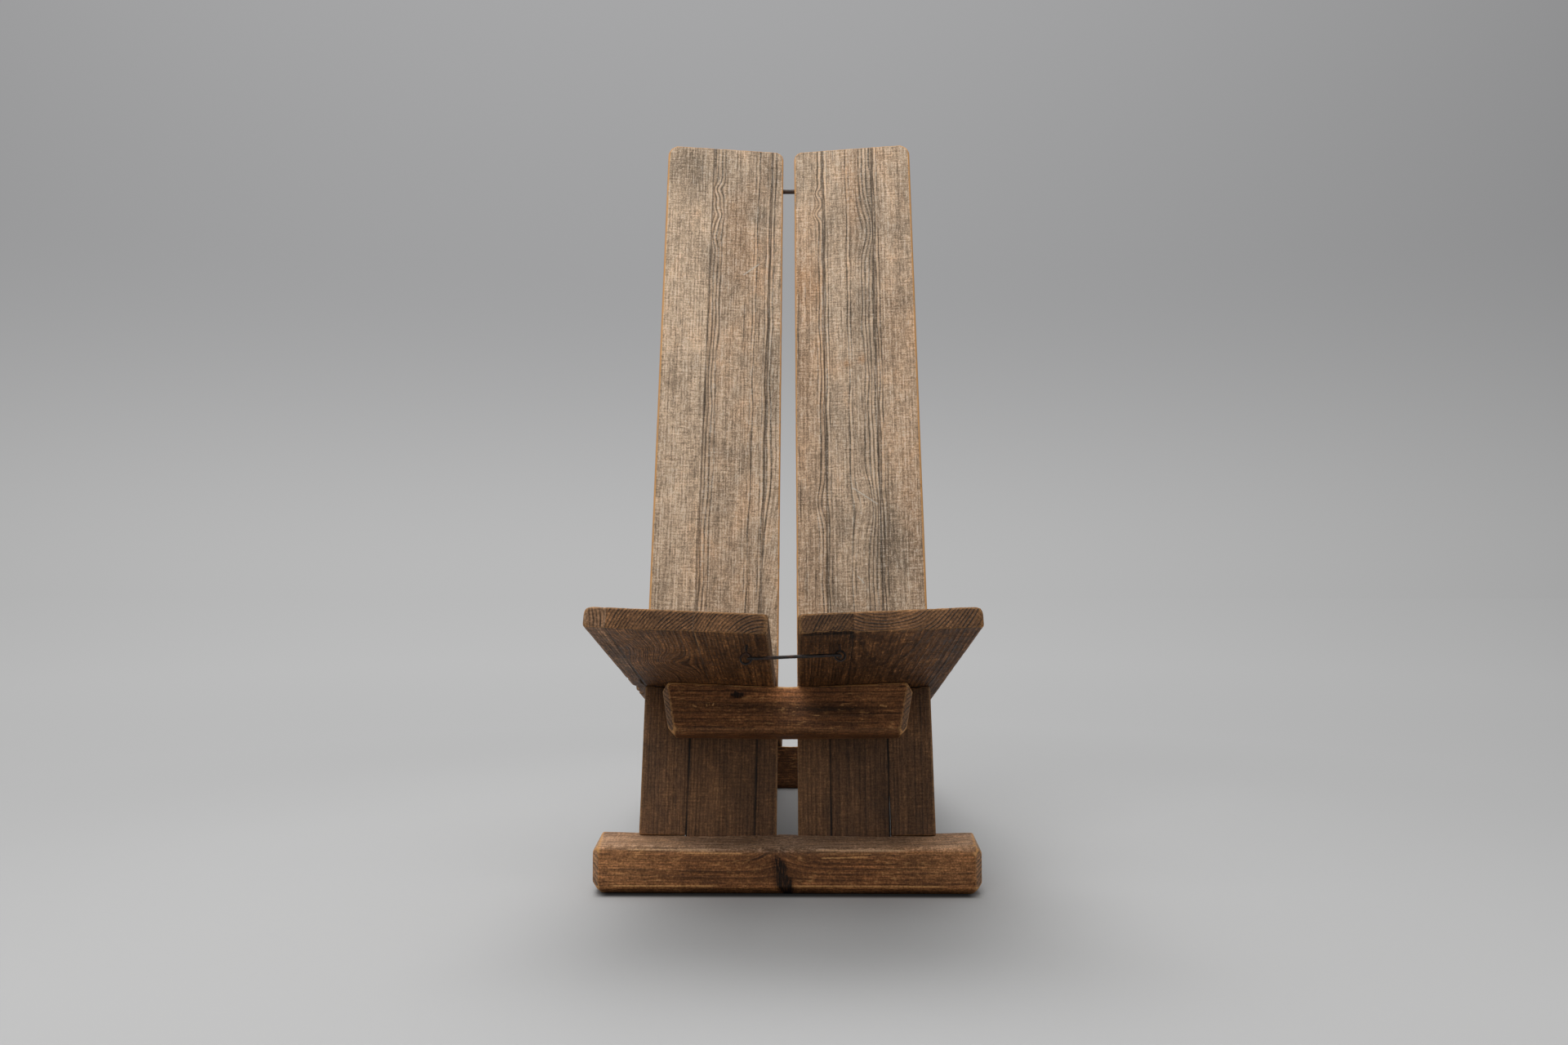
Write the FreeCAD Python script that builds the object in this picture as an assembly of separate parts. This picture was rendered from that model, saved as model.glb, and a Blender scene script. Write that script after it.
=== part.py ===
import FreeCAD, Part
import math
import os

# Lounge chair of four weathered boards in two crossing pairs.
# The back pair leans, the seat pair slopes, and the pairs are halved into each other.
# Millimetres and degrees. X runs to the right as seen from the front, Y to the rear, Z up.
# Each board is drawn for the +X side and mirrored for the -X side.

# Stance
back_recline_degrees = 14.35
back_cant_degrees = 6.12
seat_cant_degrees = 2.39
back_setback = 68.5
seat_front_reach = 251.8
seat_front_height = 326.7
seat_tail_height = 63.2

# Boards
board_thickness = 22.0
back_board_width = 177.0
back_board_length = 1071.0
back_board_lift = 8.0
back_gap_at_foot = 27.3
back_gap_at_top = 15.7
back_inner_corner_radius = 13.0
back_outer_corner_radius = 17.0
back_arris_radius = 3.0
seat_board_width = 191.0
seat_board_length = 1096.0
seat_gap = 31.2
seat_gap_setover = 1.4
seat_corner_radius = 5.0
seat_top_arris_radius = 8.0
seat_under_arris_radius = 4.0
inner_arris_radius = 2.0

# Glued staves: where each seam stands, from the board's inner edge at its lower or front end
# and at its upper or rear end, and the room of an outer back stave over the foot it stands on
stave_gap = 0.4
back_left_inner_seam = (29.7, 16.2)
back_left_outer_seam = (117.7, 106.5)
back_right_inner_seam = (43.5, 43.3)
back_right_outer_seam = (119.0, 118.0)
seat_left_inner_seam = (77.0, 100.0)
seat_left_outer_seam = (167.2, 182.0)
seat_right_inner_seam = (57.5, 80.0)
outer_stave_lift = 0.3

# Halving joint between the two pairs
halving_split = 106.0
halving_clearance = 0.5

# Front foot. Its corners are cut by hand: how far along the foot, and how far up its end
front_foot_length = 478.0
front_foot_height = 60.0
front_foot_depth = 84.0
front_foot_hollow = 4.0
front_foot_arris_radius = 11.0
front_foot_end_chamfer = 8.5
foot_top_corner = (9.0, 10.0)
foot_top_corner_at_rear = 1.0
foot_bottom_corner = (12.0, 14.0)
foot_bottom_chamfer = 9.0
housing_clearance = 0.5

# Rear foot
rear_foot_length = 430.0
rear_foot_depth = 60.0
rear_foot_end_chamfer = 7.0

# Rail under the seat
support_rail_top_length = 326.0
support_rail_bottom_length = 304.0
support_rail_height = 61.0
support_rail_depth = 59.0
support_rail_end_chamfer = 9.0
support_rail_top_corner = (9.0, 11.5)
support_rail_bottom_corner = (6.5, 9.0)
support_rail_arris_radius = 10.0

# Tie rod across the gap near the top of the back
tie_rod_diameter = 7.0
tie_rod_below_top = 62.0
tie_rod_grip = 55.0
tie_rod_clearance = 0.3

# Wood screws
screw_head_diameter = 9.6
screw_head_depth = 3.2
screw_shank_diameter = 4.8
screw_length = 62.0
screw_tip_length = 8.0
screw_tip_diameter = 1.6
screw_slot_width = 1.2
screw_slot_depth = 1.3
screw_hole_clearance = 0.3
screw_sinking = 0.4
foot_screw_height = 36.0
near_screw_offset = 72.0
far_screw_offset = 112.0
rear_near_screw_offset = 62.0
rear_far_screw_offset = 152.0

# Screw eyes
eye_wire_diameter = 2.6
left_eye_ring_diameter = 14.0
right_eye_ring_diameter = 13.0
left_eye_offset = 41.0
right_eye_offset = 58.4
left_eye_drop = 15.0
right_eye_drop = 12.6
eye_setback = 60.0
eye_shank_length = 15.0
eye_hole_clearance = 0.3

# Cabin hook
hook_rod_diameter = 3.8
hook_loop_wire_diameter = 2.8
hook_loop_clearance = 0.6
hook_bend_radius = 5.0
hook_tip_reach = 9.0
hook_tip_rounding = 1.2
hook_lean_degrees = 4.0

# One overrun for every cut, a tolerance to find edges by, and a reach past the whole chair
overrun = 20.0
edge_tolerance = 0.2
reach = 2.0 * (seat_board_length + back_board_length)

X_AXIS = FreeCAD.Vector(1, 0, 0)
Y_AXIS = FreeCAD.Vector(0, 1, 0)
Z_AXIS = FreeCAD.Vector(0, 0, 1)


def angle_sin(degrees):
    return math.sin(math.radians(degrees))


def angle_cos(degrees):
    return math.cos(math.radians(degrees))


def angle_tan(degrees):
    return math.tan(math.radians(degrees))


# The seat boards' undersides fall from the front height to the tail height
seat_slope_degrees = math.degrees(
    math.asin((seat_front_height - seat_tail_height) / seat_board_length)
)

# Directions: up the back's slope, square to the back towards the sitter,
# rearwards down the seat's slope, and square to the seat upwards
back_up = FreeCAD.Vector(0, angle_sin(back_recline_degrees), angle_cos(back_recline_degrees))
back_out = FreeCAD.Vector(0, -angle_cos(back_recline_degrees), angle_sin(back_recline_degrees))
seat_along = FreeCAD.Vector(0, angle_cos(seat_slope_degrees), -angle_sin(seat_slope_degrees))
seat_up = FreeCAD.Vector(0, angle_sin(seat_slope_degrees), angle_cos(seat_slope_degrees))

back_valley_foot = FreeCAD.Vector(0, back_setback, 0)
seat_valley_front = FreeCAD.Vector(0, -seat_front_reach, seat_front_height)

back_top = back_board_lift + back_board_length
seat_end_setback = seat_board_length * angle_cos(seat_slope_degrees) - seat_front_reach


def frame_at(origin, across, along):
    """Local frame: X across the board, Y along it, Z square to its face."""
    normal = across.cross(along)
    return FreeCAD.Placement(origin, FreeCAD.Rotation(across, along, normal, "ZXY"))


def canted(across_degrees, normal):
    """Direction across a board that is turned up from X towards its face's normal."""
    return X_AXIS * angle_cos(across_degrees) + normal * angle_sin(across_degrees)


# The back board's face is at Z 0 with its wood behind, the seat board's underside at Z 0
back_valley_frame = frame_at(back_valley_foot, canted(back_cant_degrees, back_out), back_up)
seat_valley_frame = frame_at(seat_valley_front, canted(seat_cant_degrees, seat_up), seat_along)

toe_degrees = math.degrees(math.atan((back_gap_at_foot - back_gap_at_top) / 2 / back_top))
back_board_frame = back_valley_frame.multiply(
    FreeCAD.Placement(X_AXIS * (back_gap_at_foot / 2), FreeCAD.Rotation(Z_AXIS, toe_degrees))
)


def seat_board_frame(side):
    """The seat's gap stands a little to the -X side, so that board starts further out."""
    edge = seat_gap / 2 - side * seat_gap_setover
    return seat_valley_frame.multiply(FreeCAD.Placement(X_AXIS * edge, FreeCAD.Rotation()))


def placed(shape, placement):
    moved = shape.copy()
    moved.Placement = placement.multiply(moved.Placement)
    return moved


def mirrored(shape):
    return shape.mirror(FreeCAD.Vector(), X_AXIS)


def on_side(shape, side):
    """side is +1 for the +X half, where shapes are drawn, and -1 for the other half."""
    return shape if side > 0 else mirrored(shape)


def block(low, high):
    size = high - low
    return Part.makeBox(size.x, size.y, size.z, low)


def beyond(first, second, third):
    """Everything past a plane through three points, on the side from which they turn left."""
    past_plane = block(
        FreeCAD.Vector(-reach, -reach, 0), FreeCAD.Vector(reach, reach, reach)
    )
    return placed(past_plane, frame_at(first, (second - first).normalize(), third - first))


def prism(points, height, base):
    """Upright prism over a flat outline of (x, y) corners, from z = base."""
    corners = [FreeCAD.Vector(x, y, base) for x, y in points]
    outline = Part.makePolygon(corners + corners[:1])
    return Part.Face(outline).extrude(Z_AXIS * height)


def edges_along(shape, direction, test):
    """Straight edges of a shape that run along a direction and pass a test of their middle."""
    found = []
    for edge in shape.Edges:
        if edge.Curve.TypeId != "Part::GeomLine":
            continue
        if abs(edge.tangentAt(edge.FirstParameter).dot(direction)) < angle_cos(1.0):
            continue
        if test(edge.CenterOfMass):
            found.append(edge)
    return found


def near(a, b):
    return abs(a - b) < edge_tolerance


# Boards and their staves


def rounded_board(width, start, length, corner_radii, arris):
    """A board with an inner and an outer rounded corner at one end, and rounded long edges.

    arris holds the radii of the long edges: the outer edge at Z 0, the outer edge at the
    other face, and both inner edges.
    """
    face_z, other_z = arris["levels"]
    body = block(
        FreeCAD.Vector(0, start, min(face_z, other_z)),
        FreeCAD.Vector(width, start + length, max(face_z, other_z)),
    )
    end = arris["rounded_end"]
    rounded_outline = body
    for x, radius in zip((0, width), corner_radii):
        corner = edges_along(
            rounded_outline, Z_AXIS, lambda middle: near(middle.x, x) and near(middle.y, end)
        )
        rounded_outline = rounded_outline.makeFillet(radius, corner)
    for x, z, radius in (
        (width, face_z, arris["outer_face"]),
        (width, other_z, arris["outer_other"]),
        (0, face_z, arris["inner"]),
        (0, other_z, arris["inner"]),
    ):
        run = edges_along(body, Y_AXIS, lambda middle: near(middle.x, x) and near(middle.z, z))
        body = body.makeFillet(radius, run)
    return body.common(rounded_outline)


def back_board():
    return rounded_board(
        back_board_width,
        back_board_lift,
        back_board_length,
        (back_inner_corner_radius, back_outer_corner_radius),
        {
            "levels": (0, -board_thickness),
            "rounded_end": back_top,
            "outer_face": back_arris_radius,
            "outer_other": back_arris_radius,
            "inner": inner_arris_radius,
        },
    )


def seat_board():
    return rounded_board(
        seat_board_width,
        0,
        seat_board_length,
        (seat_corner_radius, seat_corner_radius),
        {
            "levels": (0, board_thickness),
            "rounded_end": 0,
            "outer_face": seat_under_arris_radius,
            "outer_other": seat_top_arris_radius,
            "inner": inner_arris_radius,
        },
    )


def stave(board, inner_seam, outer_seam, width, start, length):
    """The strip of a board between two seams, or from a seam to the board's edge."""
    low_start, low_end = (-overrun, -overrun)
    if inner_seam:
        low_start, low_end = (place + stave_gap / 2 for place in inner_seam)
    high_start, high_end = (width + overrun, width + overrun)
    if outer_seam:
        high_start, high_end = (place - stave_gap / 2 for place in outer_seam)
    strip = prism(
        [
            (low_start, start),
            (high_start, start),
            (high_end, start + length),
            (low_end, start + length),
        ],
        4 * board_thickness,
        -2 * board_thickness,
    )
    return board.common(strip)


def upright_block(low_x, high_x):
    return block(FreeCAD.Vector(low_x, -reach, -reach), FreeCAD.Vector(high_x, reach, reach))


def side_block(frame, low_z, high_z):
    """Slab in a board's valley frame, kept to the +X half of the chair."""
    slab = block(FreeCAD.Vector(-reach, -reach, low_z), FreeCAD.Vector(reach, reach, high_z))
    return placed(slab, frame).common(upright_block(0, reach))


# Spaces that the crossing boards take from each other
seat_slab_space = side_block(
    seat_valley_frame, -halving_clearance, board_thickness + halving_clearance
)
back_slab_space = side_block(
    back_valley_frame, -board_thickness - halving_clearance, halving_clearance
)
back_notch = seat_slab_space.common(upright_block(halving_split - halving_clearance / 2, reach))
seat_notch = back_slab_space.common(upright_block(-reach, halving_split + halving_clearance / 2))
above_seat_underside = side_block(seat_valley_frame, -halving_clearance, reach)
below_seat_top = side_block(seat_valley_frame, -reach, board_thickness + halving_clearance)
behind_back_face = side_block(back_valley_frame, -reach, halving_clearance)
before_back_rear = side_block(back_valley_frame, -board_thickness - halving_clearance, reach)


def front_foot_outline(base, rise):
    """The front foot seen from the front: from a base up to its hollow top, raised by rise."""
    half = front_foot_length / 2
    top = front_foot_height + rise
    left_top = FreeCAD.Vector(-half, 0, top)
    right_top = FreeCAD.Vector(half, 0, top)
    worn_middle = FreeCAD.Vector(0, 0, top - front_foot_hollow)
    left_bottom = FreeCAD.Vector(-half, 0, base)
    right_bottom = FreeCAD.Vector(half, 0, base)
    outline = Part.Wire(
        [
            Part.LineSegment(left_bottom, right_bottom).toShape(),
            Part.LineSegment(right_bottom, right_top).toShape(),
            Part.Arc(right_top, worn_middle, left_top).toShape(),
            Part.LineSegment(left_top, left_bottom).toShape(),
        ]
    )
    return Part.Face(outline)


def under_foot_top(lift):
    """Everything below the front foot's hollow top, which the outer back staves stand on."""
    space = front_foot_outline(-overrun, lift).extrude(Y_AXIS * 2 * reach)
    space.translate(Y_AXIS * -reach)
    return space


def back_staves(inner_seam, outer_seam):
    """The staves of one back board. The halving joint cuts the outer one in two."""
    board = back_board()
    extent = (back_board_width, back_board_lift, back_board_length)
    inner = placed(stave(board, None, inner_seam, *extent), back_board_frame)
    middle = placed(stave(board, inner_seam, outer_seam, *extent), back_board_frame)
    outer = placed(stave(board, outer_seam, None, *extent), back_board_frame)
    outer = outer.cut(under_foot_top(outer_stave_lift))
    return {
        "inner_stave": inner,
        "middle_stave": middle.cut(back_notch),
        "outer_stave_lower": outer.cut(above_seat_underside),
        "outer_stave_upper": outer.cut(below_seat_top),
    }


def seat_staves(side, inner_seam, outer_seam):
    """The staves of one seat board. The halving joint cuts the inner one in two."""
    board = seat_board()
    extent = (seat_board_width, 0, seat_board_length)
    board_frame = seat_board_frame(side)
    inner = placed(stave(board, None, inner_seam, *extent), board_frame)
    staves = {
        "inner_stave_front": inner.cut(behind_back_face),
        "inner_stave_rear": inner.cut(before_back_rear),
    }
    if outer_seam:
        middle = placed(stave(board, inner_seam, outer_seam, *extent), board_frame)
        staves["middle_stave"] = middle.cut(seat_notch)
        staves["outer_stave"] = placed(stave(board, outer_seam, None, *extent), board_frame)
    else:
        outer = placed(stave(board, inner_seam, None, *extent), board_frame)
        staves["outer_stave"] = outer.cut(seat_notch)
    return staves


# Feet and rail


def lower_end_housing(outer_seam):
    """Space in the foot's rear for the lower ends of a back board's inner and middle staves."""
    housing = block(
        FreeCAD.Vector(-housing_clearance, -reach, -reach),
        FreeCAD.Vector(outer_seam[0] + housing_clearance, reach, 0),
    )
    return placed(housing, back_board_frame)


def foot_corner_cuts():
    """What is cut off the front foot's +X end: its front, its bottom and its tapering top corner."""
    half = front_foot_length / 2
    top = front_foot_height
    rear = front_foot_depth
    chamfer = front_foot_end_chamfer
    top_along, top_down = foot_top_corner
    bottom_along, bottom_up = foot_bottom_corner
    return [
        beyond(
            FreeCAD.Vector(half - chamfer, 0, 0),
            FreeCAD.Vector(half, chamfer, 0),
            FreeCAD.Vector(half - chamfer, 0, top),
        ),
        beyond(
            FreeCAD.Vector(half - bottom_along, 0, 0),
            FreeCAD.Vector(half - bottom_along, rear, 0),
            FreeCAD.Vector(half, 0, bottom_up),
        ),
        beyond(
            FreeCAD.Vector(half - top_along, 0, top),
            FreeCAD.Vector(half, 0, top - top_down),
            FreeCAD.Vector(half - foot_top_corner_at_rear, rear, top),
        ),
    ]


def front_foot():
    foot = front_foot_outline(0, 0).extrude(Y_AXIS * front_foot_depth)
    worn_edges = [
        edge
        for edge in foot.Edges
        if edge.Curve.TypeId == "Part::GeomCircle" and near(edge.CenterOfMass.y, 0)
    ]
    foot = foot.makeFillet(front_foot_arris_radius, worn_edges)
    bottom_edges = edges_along(foot, X_AXIS, lambda middle: near(middle.z, 0))
    foot = foot.makeChamfer(foot_bottom_chamfer, bottom_edges)
    for corner in foot_corner_cuts():
        foot = foot.cut(corner).cut(mirrored(corner))
    right_housing = lower_end_housing(back_right_outer_seam)
    left_housing = mirrored(lower_end_housing(back_left_outer_seam))
    return foot.cut(right_housing).cut(left_housing)


def rear_foot():
    """Foot under the seat boards' tails, its top planed to their slope and cant."""
    half = rear_foot_length / 2
    front = seat_end_setback - rear_foot_depth
    foot = block(
        FreeCAD.Vector(-half, front, 0), FreeCAD.Vector(half, seat_end_setback, seat_front_height)
    )
    bottom_edges = edges_along(foot, X_AXIS, lambda middle: near(middle.z, 0))
    foot = foot.makeChamfer(foot_bottom_chamfer, bottom_edges)
    ends = edges_along(foot, Z_AXIS, lambda middle: True)
    foot = foot.makeChamfer(rear_foot_end_chamfer, ends)
    over_seat = side_block(seat_valley_frame, 0, reach)
    return foot.cut(over_seat).cut(mirrored(over_seat))


# The line up the back's slope where the seat's underside meets the back's face
crossing_rise = (
    seat_front_height - (back_setback + seat_front_reach) * angle_tan(seat_slope_degrees)
) / (
    angle_cos(back_recline_degrees)
    + angle_sin(back_recline_degrees) * angle_tan(seat_slope_degrees)
)
support_rail_bottom = crossing_rise - support_rail_height


def support_rail():
    """Rail that carries the seat boards, its back planed to fit the two canted back boards."""
    top_half = support_rail_top_length / 2
    bottom_half = support_rail_bottom_length / 2
    flare = (top_half - bottom_half) / support_rail_height
    top_cut, top_cut_down = support_rail_top_corner
    bottom_cut, bottom_cut_up = support_rail_bottom_corner
    end_top = crossing_rise + top_half * angle_tan(seat_cant_degrees)
    top_corner = end_top - top_cut_down
    widest_half = top_half + flare * (top_corner - crossing_rise)
    top = crossing_rise + overrun
    narrow_half = widest_half - top_cut * (top - top_corner) / top_cut_down
    side = [
        (bottom_half - bottom_cut, support_rail_bottom),
        (bottom_half + flare * bottom_cut_up, support_rail_bottom + bottom_cut_up),
        (widest_half, top_corner),
        (narrow_half, top),
    ]
    rail = prism(side + [(-x, y) for x, y in reversed(side)], support_rail_depth, 0)
    front = support_rail_depth
    lower_edge = edges_along(
        rail, X_AXIS, lambda middle: near(middle.z, front) and near(middle.y, support_rail_bottom)
    )
    rail = rail.makeFillet(support_rail_arris_radius, lower_edge)
    chamfer = support_rail_end_chamfer
    end_cut = beyond(
        FreeCAD.Vector(bottom_half - chamfer, support_rail_bottom, front),
        FreeCAD.Vector(bottom_half, support_rail_bottom, front - chamfer),
        FreeCAD.Vector(top_half - chamfer, crossing_rise, front),
    )
    rail = rail.cut(end_cut).cut(mirrored(end_cut))
    rail = placed(rail, frame_at(back_valley_foot, X_AXIS, back_up))
    behind_face = side_block(back_valley_frame, -reach, 0)
    over_seat = side_block(seat_valley_frame, 0, reach)
    for space in (behind_face, over_seat):
        rail = rail.cut(space).cut(mirrored(space))
    return rail


# Screws


def wood_screw(room=0.0):
    """Slotted countersunk screw, head's top at Z 0 and shank along -Z. With room, its hole."""
    head = screw_head_diameter / 2 + room
    shank = screw_shank_diameter / 2 + room
    tip = screw_tip_diameter / 2 + room
    head_bottom = -screw_head_depth
    tip_start = screw_tip_length - screw_length
    profile = [
        FreeCAD.Vector(0, 0, 0),
        FreeCAD.Vector(head, 0, 0),
        FreeCAD.Vector(shank, 0, head_bottom),
        FreeCAD.Vector(shank, 0, tip_start),
        FreeCAD.Vector(tip, 0, -screw_length - room),
        FreeCAD.Vector(0, 0, -screw_length - room),
    ]
    face = Part.Face(Part.makePolygon(profile + profile[:1]))
    screw = face.revolve(FreeCAD.Vector(), Z_AXIS, 360)
    if room:
        mouth = Part.makeCylinder(head, screw_sinking + overrun)
        return screw.fuse(mouth)
    slot = block(
        FreeCAD.Vector(-screw_head_diameter, -screw_slot_width / 2, -screw_slot_depth),
        FreeCAD.Vector(screw_head_diameter, screw_slot_width / 2, overrun),
    )
    return screw.cut(slot)


def screw_places_in_back(rise):
    """Two screws driven forwards through a back board at one height."""
    turn = FreeCAD.Rotation(X_AXIS, 180)
    depth = screw_sinking - board_thickness
    return [
        back_valley_frame.multiply(FreeCAD.Placement(FreeCAD.Vector(offset, rise, depth), turn))
        for offset in (near_screw_offset, far_screw_offset)
    ]


def screw_places_in_seat():
    """Two screws driven down through a seat board's tail into the rear foot."""
    along = seat_board_length - rear_foot_depth / 2
    height = board_thickness - screw_sinking
    return [
        seat_valley_frame.multiply(
            FreeCAD.Placement(FreeCAD.Vector(offset, along, height), FreeCAD.Rotation())
        )
        for offset in (rear_near_screw_offset, rear_far_screw_offset)
    ]


def both_sides(shapes):
    return [on_side(shape, side) for side in (1, -1) for shape in shapes]


screw_rows = {
    "front_foot_screws": screw_places_in_back(foot_screw_height),
    "seat_support_rail_screws": screw_places_in_back(support_rail_bottom + support_rail_height / 2),
    "rear_foot_screws": screw_places_in_seat(),
}


# Tie rod


def tie_rod(room=0.0):
    """Steel rod through the middle of the boards' thickness. With room, its hole."""
    radius = tie_rod_diameter / 2 + room
    rise = back_top - tie_rod_below_top
    half_length = back_gap_at_top / 2 + tie_rod_grip + room
    middle = back_valley_foot + back_up * rise - back_out * (board_thickness / 2)
    end = middle - X_AXIS * half_length
    return Part.makeCylinder(radius, 2 * half_length, end, X_AXIS)


# Screw eyes and hook


def eye_frame(offset, side):
    """Frame on the seat's underside at an eye, X across the chair, Z square to the board."""
    local = seat_valley_frame.multVec(FreeCAD.Vector(offset, eye_setback, 0))
    across = canted(seat_cant_degrees, seat_up)
    if side < 0:
        local = FreeCAD.Vector(-local.x, local.y, local.z)
        across = FreeCAD.Vector(across.x, -across.y, -across.z)
    return frame_at(local, across, seat_along)


left_eye_frame = eye_frame(left_eye_offset, -1)
right_eye_frame = eye_frame(right_eye_offset, 1)
left_ring_centre = left_eye_frame.multVec(FreeCAD.Vector(0, 0, -left_eye_drop))
right_ring_centre = right_eye_frame.multVec(FreeCAD.Vector(0, 0, -right_eye_drop))


def screw_eye(frame, ring_diameter, drop):
    """Ring that faces the front, on a shank screwed up into the board."""
    wire = eye_wire_diameter / 2
    ring_radius = ring_diameter / 2 - wire
    ring = Part.makeTorus(ring_radius, wire, FreeCAD.Vector(0, 0, -drop), Y_AXIS)
    shank_length = drop - ring_radius + eye_shank_length
    shank = Part.makeCylinder(wire, shank_length, FreeCAD.Vector(0, 0, ring_radius - drop))
    return placed(ring.fuse(shank), frame)


def eye_hole(frame):
    radius = eye_wire_diameter / 2 + eye_hole_clearance
    depth = eye_shank_length + eye_hole_clearance + overrun
    hole = Part.makeCylinder(radius, depth, FreeCAD.Vector(0, 0, -overrun))
    return placed(hole, frame)


hook_across = (right_ring_centre - left_ring_centre).normalize()
hook_pivot = left_ring_centre + hook_across * (left_eye_ring_diameter / 2 - eye_wire_diameter / 2)
hook_frame = frame_at(hook_pivot, hook_across, seat_along)
hook_span = (right_ring_centre - hook_pivot).Length


def cabin_hook():
    """Hook whose closed loop rides on the left ring and whose bent tip lies in the right ring."""
    rod = hook_rod_diameter / 2
    loop_wire = hook_loop_wire_diameter / 2
    loop_radius = eye_wire_diameter / 2 + hook_loop_clearance + loop_wire
    loop = Part.makeTorus(loop_radius, loop_wire)
    start = FreeCAD.Vector(loop_radius, 0, 0)
    lean = hook_lean_degrees
    bend = hook_bend_radius
    bend_start_x = hook_span - bend - bend * angle_sin(lean)
    bend_start_y = -(bend_start_x - start.x) * angle_tan(lean)
    bend_centre = FreeCAD.Vector(hook_span - bend, bend_start_y + bend * angle_cos(lean), 0)
    bend_start = FreeCAD.Vector(bend_start_x, bend_start_y, 0)
    bend_end = FreeCAD.Vector(hook_span, bend_centre.y, 0)
    half_turn = (90 + lean) / 2
    bend_middle = bend_centre + FreeCAD.Vector(
        bend * angle_cos(half_turn), -bend * angle_sin(half_turn), 0
    )
    tip = FreeCAD.Vector(hook_span, hook_tip_reach, 0)
    route = Part.Wire(
        [
            Part.LineSegment(start, bend_start).toShape(),
            Part.Arc(bend_start, bend_middle, bend_end).toShape(),
            Part.LineSegment(bend_end, tip).toShape(),
        ]
    )
    section = Part.Wire([Part.makeCircle(rod, start, bend_start - start)])
    stem = route.makePipeShell([section], True, False)
    tip_edge = [edge for edge in stem.Edges if near(edge.CenterOfMass.y, hook_tip_reach)]
    stem = stem.makeFillet(hook_tip_rounding, tip_edge)
    return placed(loop.fuse(stem), hook_frame)


def drilled(shape, holes):
    for hole in holes:
        if shape.BoundBox.intersect(hole.BoundBox):
            shape = shape.cut(hole)
    return shape


def build():
    """Every node of the chair by name, in the working frame."""
    nodes = {}
    for side, name, inner_seam, outer_seam in (
        (-1, "back_left", back_left_inner_seam, back_left_outer_seam),
        (1, "back_right", back_right_inner_seam, back_right_outer_seam),
    ):
        for piece, shape in back_staves(inner_seam, outer_seam).items():
            nodes[name + "_" + piece] = on_side(shape, side)
    for side, name, inner_seam, outer_seam in (
        (-1, "seat_left", seat_left_inner_seam, seat_left_outer_seam),
        (1, "seat_right", seat_right_inner_seam, None),
    ):
        for piece, shape in seat_staves(side, inner_seam, outer_seam).items():
            nodes[name + "_" + piece] = on_side(shape, side)
    nodes["front_foot_rail"] = front_foot()
    nodes["rear_foot_rail"] = rear_foot()
    nodes["seat_support_rail"] = support_rail()

    holes = [tie_rod(tie_rod_clearance), eye_hole(left_eye_frame), eye_hole(right_eye_frame)]
    screw_hole = wood_screw(screw_hole_clearance)
    for places in screw_rows.values():
        holes += both_sides([placed(screw_hole, place) for place in places])
    for name in nodes:
        nodes[name] = drilled(nodes[name], holes)

    nodes["back_tie_rod"] = tie_rod()
    screw = wood_screw()
    for name, places in screw_rows.items():
        nodes[name] = Part.makeCompound(both_sides([placed(screw, place) for place in places]))
    nodes["left_screw_eye"] = screw_eye(left_eye_frame, left_eye_ring_diameter, left_eye_drop)
    nodes["right_screw_eye"] = screw_eye(right_eye_frame, right_eye_ring_diameter, right_eye_drop)
    nodes["cabin_hook"] = cabin_hook()
    return nodes


def main():
    """Put the middle of the chair's footprint at the origin and write each node."""
    nodes = build()
    box = Part.makeCompound(list(nodes.values())).BoundBox
    shift = FreeCAD.Vector(-(box.XMin + box.XMax) / 2, -(box.YMin + box.YMax) / 2, -box.ZMin)
    for name, shape in nodes.items():
        shape.translate(shift)
        shape.exportStep("parts/" + name + ".step")
        solids = len(shape.Solids)
        print(name, "solids", solids, "valid", shape.isValid(), "volume", round(shape.Volume))
    pivot = hook_pivot + shift
    axis = hook_frame.Rotation.multVec(Z_AXIS) * -1
    print("size", round(box.XLength, 1), round(box.YLength, 1), round(box.ZLength, 1))
    print("front foot face at y", round(shift.y, 3))
    print("hook pivot", [round(value, 4) for value in pivot])
    print("hook axis", [round(value, 6) for value in axis])


main()
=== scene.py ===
import math
from dataclasses import dataclass

import bmesh
import bpy
import numpy as np
from bpy.props import FloatProperty, FloatVectorProperty, IntProperty, PointerProperty
from mathutils import Matrix, Vector


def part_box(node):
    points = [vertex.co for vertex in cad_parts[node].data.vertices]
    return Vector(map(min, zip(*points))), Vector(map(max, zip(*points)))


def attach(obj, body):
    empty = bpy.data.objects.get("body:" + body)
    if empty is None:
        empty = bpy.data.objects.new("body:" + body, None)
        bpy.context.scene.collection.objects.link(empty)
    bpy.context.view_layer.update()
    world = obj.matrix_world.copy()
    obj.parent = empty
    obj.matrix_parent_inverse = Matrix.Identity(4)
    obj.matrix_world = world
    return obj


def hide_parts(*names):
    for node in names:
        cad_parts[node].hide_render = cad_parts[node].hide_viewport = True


bl_info = {
    "name": "Crossed Board Lounge Chair",
    "version": (1, 0, 0),
    "blender": (4, 5, 0),
    "location": "View3D > Sidebar > Lounge Chair",
    "description": "Dresses the frame of a lounge chair of crossing pine boards in worn timber and iron",
    "category": "Object",
}

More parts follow.
